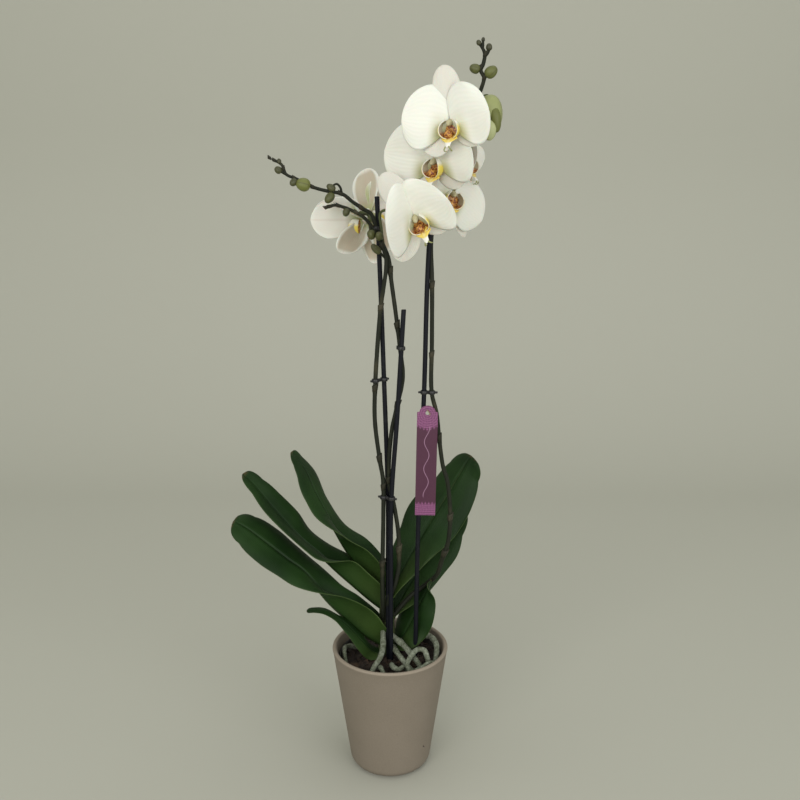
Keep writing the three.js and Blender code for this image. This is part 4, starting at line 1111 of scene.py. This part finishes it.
def petal_skin(name, shade, rear_dark, rear_light):
    skin = Finish(name)
    across, along, front = skin.own("blade")
    place = skin.place()
    cloud = skin.noise(place, 55, 3)
    fan = (across * 46 + skin.noise(place, 70, 2) * 2.5).sine() * 0.5 + 0.5
    cells = skin.noise(place, 2600, 2)
    white = skin.mix(cloud, shade, [level * 1.06 for level in shade])
    white = skin.mix(fan * 0.10, white, (0.66, 0.68, 0.60))
    # Olive-green at the claw, strongest on the lower side: this is partly the blade's own greenish claw and
    # partly painted shade cast by the lip.
    throat = along.step(0.46, 0.20) * (across * -0.5 + 0.5).step(0.25, 0.85)
    white = skin.mix(throat * 0.75, white, (0.33, 0.35, 0.10))
    # The back is partly its own beige-pink tint and partly painted light. Its darker middle is painted shade,
    # and its white rim and tip are painted light showing through the thin edges.
    rear = skin.mix(cloud, rear_dark, rear_light)
    rear = skin.mix(across.size().step(0.68, 0.9), rear, (0.80, 0.79, 0.72))
    rear = skin.mix(along.step(0.86, 0.98), rear, (0.80, 0.79, 0.72))
    rear = skin.mix(along.step(0.30, 0.02) * 0.8, rear, (0.42, 0.46, 0.18))
    rear = skin.mix(across.size().step(0.10, 0.0) * 0.25, rear, (0.55, 0.42, 0.34))
    colour = skin.mix(front, rear, white)
    relief = fan * 0.45 + cloud * 1.2 + cells * 0.12
    return skin.surface(Base_Color=colour, Roughness=0.52 - cells * 0.1, Subsurface_Weight=0.12,
                        Subsurface_Scale=0.004, Normal=skin.bump(relief, 0.3 * MM, 0.5))


def petals_and_sepals():
    petal_look = petal_skin("petal_skin", (0.80, 0.79, 0.72), (0.74, 0.71, 0.64), (0.80, 0.78, 0.71))
    # The sepals are the same white as the petals. Their grey-beige front is painted shade, and their darker
    # beige back is partly their own tint and partly painted shade.
    sepal_look_painted_shade = petal_skin("sepal_skin_painted_shade", (0.67, 0.65, 0.58), (0.44, 0.39, 0.28), (0.60, 0.55, 0.44))
    for number, flower in enumerate(FLOWERS, 1):
        centre, face, _, _, size = flower_frame(number)
        sepals = [("dorsal", flower["dorsal"]), *(("lateral", blade) for blade in flower["laterals"])]
        rear = [petal_sheet(number, kind, blade, 1, SEPAL_LIFT, number * 10 + k, rows=34, half=9)
                for k, (kind, blade) in enumerate(sepals)]
        rear.append(bud_shape(centre - face * 2.6 * size, face, 4.6 * size, 3.2 * size, 0))
        points, faces, marks = joined(rear)
        made = piece(f"flower_{number}_three_sepals", points, faces, sepal_look_painted_shade, {"blade": marks})
        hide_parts(f"flower_{number}_sepals")
        for side, word, blade in zip((-1, 1), ("left", "right"), flower["petals"]):
            points, faces, marks = petal_sheet(number, "petal", blade, side, PETAL_LIFT[word],
                                               number * 10 + 6 + side)
            made = piece(f"flower_{number}_broad_petal_{word}", points, faces, petal_look,
                         {"blade": marks})
            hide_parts(f"flower_{number}_petal_{word}")


petals_and_sepals()


# ---- lips ----
# The third petal: two side lobes stand up round the column like a cup, and an arrow-shaped middle lobe
# reaches forward and ends in two curled tendrils. Column and lip are grown onto the flower's centre.
TENDRILS = [(1.4, -22.0, 16.8), (3.2, -24.6, 16.6), (3.6, -26.4, 14.0), (1.8, -26.0, 12.4)]
LIP_TURN = math.radians(-17)


def local_points(number, points):
    """Turns right, up and forward of the lip, which sits a little askew, into places in space."""
    centre, face, up, right, size = flower_frame(number)
    spots = np.array(points, dtype=float) * size
    aside, ahead = spots[..., 0].copy(), spots[..., 2] - 3
    spots[..., 0] = aside * math.cos(LIP_TURN) + ahead * math.sin(LIP_TURN) + 1.2
    spots[..., 2] = ahead * math.cos(LIP_TURN) - aside * math.sin(LIP_TURN) + 3
    return centre + spots[..., :1] * right + spots[..., 1:2] * up + spots[..., 2:] * face


def lip_lobe(side, rows=16, columns=22):
    """A side lobe: part of a round cup wall, seen inside as a spotted throat."""
    middle = np.zeros((rows, columns, 3))
    marks = np.zeros((rows, columns, 3))
    for r in range(rows):
        out = r / (rows - 1)
        for c in range(columns):
            sweep = c / (columns - 1)
            turn = math.radians(14 + 136 * sweep)
            radius = 9.6 - 1.4 * (1 - out) ** 2 + 0.5 * math.sin(5 * sweep) * out
            depth = 2.5 + (10.5 * math.sin(math.pi * (0.16 + 0.72 * sweep)) ** 0.6) * out
            middle[r, c] = (side * radius * math.sin(turn), -5.8 - radius * math.cos(turn), depth)
            marks[r, c] = (sweep, out, 0)
    points, faces = closed_sheet(middle, np.full((rows, columns), 0.8))
    first, second = marks.reshape(-1, 3).copy(), marks.reshape(-1, 3)
    (first if side > 0 else second)[:, 2] = 1
    return points, faces, np.concatenate([first, second])


def lip_arrow(rows=22, columns=13):
    """The middle lobe, widest at its shoulders and narrowing to the tendrils."""
    middle = np.zeros((rows, columns, 3))
    marks = np.zeros((rows, columns, 3))
    for r in range(rows):
        out = r / (rows - 1)
        half = 4.2 + 4.6 * math.exp(-((out - 0.3) / 0.17) ** 2) - 2.3 * out
        for c in range(columns):
            b = 2 * c / (columns - 1) - 1
            middle[r, c] = (b * half, -13.6 - 9.4 * out + 2.2 * b * b * (1 - out),
                            7 + 11 * math.sin(out * 1.25) - 1.6 * b * b)
            marks[r, c] = (b, out, 1)
    points, faces = closed_sheet(middle, np.full((rows, columns), 1.1))
    return points, faces, np.concatenate([marks.reshape(-1, 3)] * 2)


def side_lobe_skin():
    skin = Finish("side_lobe_skin")
    sweep, out, inside = skin.own("blade")
    place = skin.place()
    mottle = skin.noise(place, 620, 3, 0.65)
    bars = (sweep * 60 + skin.noise(place, 300) * 3).sine() * 0.5 + 0.5
    throat = skin.mix(mottle.step(0.42, 0.58), (0.62, 0.30, 0.07), (0.20, 0.03, 0.018))
    # Upper inside: grey-beige with olive-green stripes. The fine stripes are the lobe's own, and the grey and
    # olive are painted shade inside the cup.
    throat = skin.mix(sweep.step(0.30, 0.52), throat, (0.50, 0.45, 0.32))
    throat = skin.mix(sweep.step(0.55, 0.95) * bars * 0.5, throat, (0.30, 0.33, 0.17))
    throat = skin.mix(out.step(0.84, 1.0), throat, (0.83, 0.82, 0.74))
    rear = skin.mix(mottle, (0.80, 0.60, 0.05), (0.84, 0.70, 0.16))
    rear = skin.mix(sweep.step(0.58, 0.80), rear, (0.82, 0.81, 0.72))
    rear = skin.mix(sweep.step(0.12, 0.0) * mottle.step(0.45, 0.6), rear, (0.45, 0.10, 0.02))
    colour = skin.mix(inside, rear, throat)
    return skin.surface(Base_Color=colour, Roughness=0.42, Normal=skin.bump(mottle, 0.2 * MM, 0.5))


def middle_lobe_skin():
    skin = Finish("middle_lobe_skin")
    across, out, _ = skin.own("blade")
    place = skin.place()
    mottle = skin.noise(place, 500, 3, 0.6)
    colour = skin.mix(mottle, (0.78, 0.56, 0.06), (0.84, 0.68, 0.18))
    colour = skin.mix(across.size().step(0.35, 0.0) * 0.5, colour, (0.90, 0.80, 0.45))
    colour = skin.mix(out.step(0.50, 0.66), colour, (0.84, 0.83, 0.76))
    speck = out.step(0.34, 0.06) * mottle.step(0.46, 0.56)
    colour = skin.mix(speck, colour, (0.28, 0.035, 0.015))
    return skin.surface(Base_Color=colour, Roughness=0.4, Normal=skin.bump(mottle, 0.2 * MM, 0.5))


def column_skin():
    skin = Finish("column_skin")
    _, along, callus = skin.own("blade")
    place = skin.place()
    mottle = skin.noise(place, 560, 3, 0.6)
    # The column's grey-beige body and greener base are painted shade on a white column deep in the cup; the
    # red-brown spots of the callus are its own.
    colour = skin.mix(mottle, (0.40, 0.36, 0.20), (0.56, 0.51, 0.32))
    colour = skin.mix(along.step(0.55, 0.2), colour, (0.30, 0.31, 0.12))
    spotted = skin.mix(mottle.step(0.45, 0.56), (0.60, 0.30, 0.06), (0.17, 0.025, 0.015))
    colour = skin.mix(callus, colour, spotted)
    return skin.surface(Base_Color=colour, Roughness=0.38, Normal=skin.bump(mottle, 0.15 * MM, 0.4))


def lips():
    cup, arrow, column = side_lobe_skin(), middle_lobe_skin(), column_skin()
    for number in range(1, len(FLOWERS) + 1):
        size = FLOWERS[number - 1]["size"]
        parts = []
        for name, skin, shapes in (
                ("side_lobes", cup, [lip_lobe(-1), lip_lobe(1)]),
                ("middle_lobe", arrow, [lip_arrow()])):
            points, faces, marks = joined(shapes)
            parts.append(piece(name, local_points(number, points) * MM, faces, skin, {"blade": marks}))
        knobs = [bud_shape((-0.8, -0.2, 5.6), (0, -0.3, 1), 3.1, 5.6, 0),
                 bud_shape((0, -6.4, 2.6), (0, 0, 1), 8.2, 1.5, 1),
                 bud_shape((-1.5, -10.6, 7.6), (0, 0.35, 1), 4.6, 4.4, 1)]
        points, faces, marks = joined(knobs)
        parts.append(piece("column", local_points(number, points / MM) * MM, faces, column,
                           {"blade": marks}))
        for side in (-1, 1):
            route = smooth_path([(side * x, y, z) for x, y, z in TENDRILS], 6)
            girth = np.linspace(0.8, 0.3, len(route)) * size
            parts.append(ROUND_STEM.run(curve_source(local_points(number, route), girth), "tendril",
                                        Sides=8, Swell=0.05, Grain=200.0, Material=column))
        made = merged(f"flower_{number}_cupped_lip", parts)
        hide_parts(f"flower_{number}_lip")


lips()


# ---- stake clips ----
# Small black plastic clips. Each is two snap rings joined by a short bridge, one ring on the stake and
# one round the spike, and each ring has a pair of finger tabs.
CLIPS = [("tall", 1, 449), ("short", 1, 320), ("short", 2, 484), ("right", 3, 436), ("tall", 2, 606)]


def clip_plastic():
    plastic = Finish("clip_plastic")
    place = plastic.place()
    scuff = plastic.noise(place, 500, 3)
    colour = plastic.mix(scuff, (0.006, 0.006, 0.007), (0.02, 0.02, 0.021))
    return plastic.surface(Base_Color=colour, Roughness=0.3 + scuff * 0.25,
                           Normal=plastic.bump(scuff, 0.1 * MM, 0.4))


def snap_ring(centre, bore, wall, height, segments=28):
    """A round-edged band: a turned ring about an upright axis, in millimetres."""
    boxy = lambda value: math.copysign(abs(value) ** 0.5, value)
    ring = [(bore + wall * (0.5 + 0.5 * math.cos(t)), height / 2 * boxy(math.sin(t)))
            for t in np.linspace(0, 2 * math.pi, 12, endpoint=False)]
    points = [np.array(centre) + (radius * math.cos(turn), radius * math.sin(turn), rise)
              for turn in np.linspace(0, 2 * math.pi, segments, endpoint=False) for radius, rise in ring]
    count = len(ring)
    faces = [(s * count + k, ((s + 1) % segments) * count + k,
              ((s + 1) % segments) * count + (k + 1) % count, s * count + (k + 1) % count)
             for s in range(segments) for k in range(count)]
    return np.array(points) * MM, faces, np.zeros((len(points), 3))


def pad(centre, half, turn):
    """A small block with rounded corners, turned about the upright axis."""
    shape = bmesh.new()
    bmesh.ops.create_cube(shape, size=2)
    bmesh.ops.bevel(shape, geom=shape.edges, offset=0.45, offset_type="OFFSET", segments=3,
                    profile=0.5, affect="EDGES")
    spots = np.array([tuple(v.co) for v in shape.verts]) * half
    cosine, sine = math.cos(turn), math.sin(turn)
    spots = np.column_stack([spots[:, 0] * cosine - spots[:, 1] * sine,
                             spots[:, 0] * sine + spots[:, 1] * cosine, spots[:, 2]])
    faces = [tuple(v.index for v in face.verts) for face in shape.faces]
    shape.free()
    return (spots + np.array(centre)) * MM, faces, np.zeros((len(spots), 3))


def point_at_height(route, height):
    line = smooth_path(route, 40)
    return line[np.argmin(np.abs(line[:, 2] - height))]


def clips():
    plastic = clip_plastic()
    for number, (stake, spike, height) in enumerate(CLIPS, 1):
        ends = [point_at_height(STAKES[stake], height), point_at_height(SPIKES[spike - 1]["line"], height)]
        shapes = []
        for spot, bore in zip(ends, (STAKE_RADIUS, SPIKE_RADIUS)):
            shapes.append(snap_ring((spot[0], spot[1], height), bore + 0.25, 1.35, 4))
        gap = ends[1][:2] - ends[0][:2]
        turn = math.atan2(gap[1], gap[0])
        middle = (ends[0][:2] + ends[1][:2]) / 2
        span = max(0.6, np.linalg.norm(gap) / 2 - STAKE_RADIUS)
        shapes.append(pad((*middle, height), (span, 1.3, 1.7), turn))
        for spot, way in ((ends[0], -1), (ends[1], 1)):
            out = way * (STAKE_RADIUS + 2.3)
            shapes.append(pad((spot[0] + out * math.cos(turn), spot[1] + out * math.sin(turn), height),
                              (1.5, 1.1, 1.1), turn))
        points, faces, _ = joined(shapes)
        made = piece(f"stake_clip_{number}", points, faces, plastic)
        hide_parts(f"clip_{number}")


clips()


# ---- plant tag ----
# A stiff printed card, burgundy with a pink ornament at both ends and a wavy line between. A short cord
# through its eyelet ties it to the right-hand stake, and it hangs in front of the stake.
TAG_HALF = 11.0
TAG_TOP = 423
TAG_BOTTOM = 301
TAG_DEPTH = 1.0
TAG_PLACE = (33, -7.5)
TAG_LEAN = math.radians(1)
TAG_MIDDLE = 361
BROW_HEIGHT = 7
EYELET_DROP = 8
EYELET_RADIUS = 2.2


def tag_card():
    card = Finish("tag_card")
    across, height, _ = card.own("card")
    place = card.place()
    grain = card.noise(place, 900, 3)
    wobble = card.noise(place, 260, 2) * 3
    down = TAG_TOP - height
    curls = ((across * 1.9 + wobble).sine() * (height * 1.7 + wobble).sine()).size()
    rings = ((across * across + (down - 9) ** 2) ** 0.5 * 2.6 + wobble).sine() * 0.5 + 0.5
    lace = curls.step(0.28, 0.5) * 0.65 + rings.step(0.55, 0.8) * 0.45
    edge = (across * 1.7 + 1.5).sine() * 1.3 - across.size() * 0.35
    top = (down - edge).step(28, 24.5)
    swell = (across * 1.7 + 1.5).sine() * 1.3
    foot = (height - TAG_BOTTOM - swell).step(15, 12)
    ink = card.mix(grain, (0.055, 0.009, 0.030), (0.072, 0.014, 0.042))
    printed = card.mix(grain, (0.24, 0.07, 0.18), (0.33, 0.12, 0.26))
    ground = card.mix(top.most(foot) * 0.45, ink, (0.20, 0.05, 0.16))
    colour = card.mix((top.most(foot) * lace).least(1), ground, printed)
    vine = (across - ((height - TAG_MIDDLE) * 0.21).sine() * 2.6).size()
    stem = vine.step(0.55, 0.25) * (height - TAG_MIDDLE).size().step(41, 37)
    colour = card.mix(stem * 0.6, colour, (0.42, 0.24, 0.36))
    return card.surface(Base_Color=colour, Roughness=0.42 + grain * 0.15,
                        Normal=card.bump(lace * 0.4 + grain, 0.08 * MM, 0.4))


def on_tag(x, depth, z):
    """A place on the tag's own sheet, leaned and moved to where it hangs."""
    return (x * math.cos(TAG_LEAN) + z * math.sin(TAG_LEAN) + TAG_PLACE[0], TAG_PLACE[1] - depth,
            z * math.cos(TAG_LEAN) - x * math.sin(TAG_LEAN))


def plant_tag():
    brow = TAG_TOP - BROW_HEIGHT
    outline = [(-TAG_HALF, TAG_BOTTOM), (TAG_HALF, TAG_BOTTOM), (TAG_HALF, brow - 0.8)]
    outline += [(TAG_HALF - 0.8 + 0.8 * math.cos(t), brow - 0.8 + 0.8 * math.sin(t))
                for t in np.linspace(0.3, math.pi / 2, 4)]
    outline += [((TAG_HALF - 2.5) * math.cos(t), brow + BROW_HEIGHT * math.sin(t))
                for t in np.linspace(0.05, math.pi - 0.05, 30)]
    outline += [(-x, z) for x, z in reversed(outline[2:7])]
    eyelet = [(EYELET_RADIUS * math.cos(t), TAG_TOP - EYELET_DROP + EYELET_RADIUS * math.sin(t))
              for t in np.linspace(0, 2 * math.pi, 28, endpoint=False)]
    shape = bmesh.new()
    loops = [[shape.verts.new((x, 0, z)) for x, z in loop] for loop in (outline, eyelet)]
    edges = [shape.edges.new((loop[i], loop[(i + 1) % len(loop)])) for loop in loops
             for i in range(len(loop))]
    bmesh.ops.triangle_fill(shape, use_beauty=True, use_dissolve=False, edges=edges)
    front = list(shape.faces)
    thick = bmesh.ops.extrude_face_region(shape, geom=front)
    for part in thick["geom"]:
        if isinstance(part, bmesh.types.BMVert):
            part.co.y = TAG_DEPTH
    shape.verts.index_update()
    flat = [tuple(vert.co) for vert in shape.verts]
    faces = [tuple(vert.index for vert in face.verts) for face in shape.faces]
    shape.free()
    points = np.array([on_tag(*spot) for spot in flat]) * MM
    marks = [(x, z, 0) for x, _, z in flat]
    made = piece("plant_tag_card", points, faces, tag_card(), {"card": marks}, smooth=False)
    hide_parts("tag")


plant_tag()


# ---- tag cord ----
# Two thin plies of natural twine twisted together. The cord passes through the tag's eyelet and round
# the stake, and is knotted behind it.
CORD = [(39.5, -10.4, 419), (42.6, -9, 414), (41, -5.4, 410), (38, -5.2, 412), (36, -5.6, 416)]


def twine():
    fibre = Finish("twine")
    strand = fibre.noise(fibre.place((1, 1, 0.3)), 2600, 3, 0.7)
    colour = fibre.mix(strand, (0.16, 0.11, 0.05), (0.42, 0.33, 0.19))
    return fibre.surface(Base_Color=colour, Roughness=0.85, Normal=fibre.bump(strand, 0.1 * MM, 0.7))


def tag_cord():
    route = smooth_path(CORD, 24)
    tangent = np.gradient(route, axis=0)
    tangent /= np.linalg.norm(tangent, axis=1, keepdims=True)
    side = np.cross(tangent, (0, 0.3, 1))
    side /= np.linalg.norm(side, axis=1, keepdims=True)
    other = np.cross(tangent, side)
    turns = np.linspace(0, 2 * math.pi * 9, len(route))[:, None]
    material = twine()
    plies = []
    for phase in (0, math.pi):
        ply = route + 0.27 * (side * np.cos(turns + phase) + other * np.sin(turns + phase))
        plies.append(ROUND_STEM.run(curve_source(ply, np.full(len(ply), 0.31)), "ply",
                                    Sides=8, Swell=0.1, Grain=900.0, Material=material))
    made = merged("tag_cord", plies)
    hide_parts("tag_tie")


tag_cord()


# ---- floor and light ----
# A plain pale sweep, and large soft lights in front and above.
def sweep():
    floor = Finish("sweep_paper")
    floor.surface(Base_Color=(0.465, 0.465, 0.40), Roughness=0.9)
    profile = [(-3.0, 0), (0.9, 0)] + [(0.9 + 0.8 * math.sin(t), 0.8 - 0.8 * math.cos(t))
                                       for t in np.linspace(0.1, math.pi / 2, 12)] + [(1.7, 3.2)]
    points = [(x, y, z) for y, z in profile for x in (-4, 4)]
    faces = [(2 * i, 2 * i + 1, 2 * i + 3, 2 * i + 2) for i in range(len(profile) - 1)]
    mesh = bpy.data.meshes.new("sweep")
    mesh.from_pydata(points, [], faces)
    mesh.polygons.foreach_set("use_smooth", [True] * len(mesh.polygons))
    mesh.materials.append(floor.material)
    placed("sweep", mesh)


def softbox(name, place, aim, width, height, power, colour=(1, 1, 1)):
    data = bpy.data.lights.new(name, "AREA")
    data.shape = "RECTANGLE"
    data.size = width
    data.size_y = height
    data.energy = power
    data.color = colour
    made = placed(name, data)
    made.location = place
    made.rotation_euler = (Vector(aim) - Vector(place)).to_track_quat("-Z", "Y").to_euler()


sweep()
softbox("key", (-1.0, -2.5, 1.25), (0, 0, 0.4), 2.2, 1.8, 36, (1, 0.985, 0.955))
softbox("fill", (1.7, -2.2, 0.8), (0, 0, 0.4), 2.0, 1.8, 27, (0.99, 0.99, 1))
softbox("top", (0.1, 0.2, 2.6), (0, 0, 0.4), 2.0, 2.0, 12)
world = bpy.data.worlds.new("studio")
world.use_nodes = True
world.node_tree.nodes["Background"].inputs[0].default_value = (0.82, 0.83, 0.78, 1)
world.node_tree.nodes["Background"].inputs[1].default_value = 0.66
bpy.context.scene.world = world
bpy.context.scene.view_settings.view_transform = "Standard"
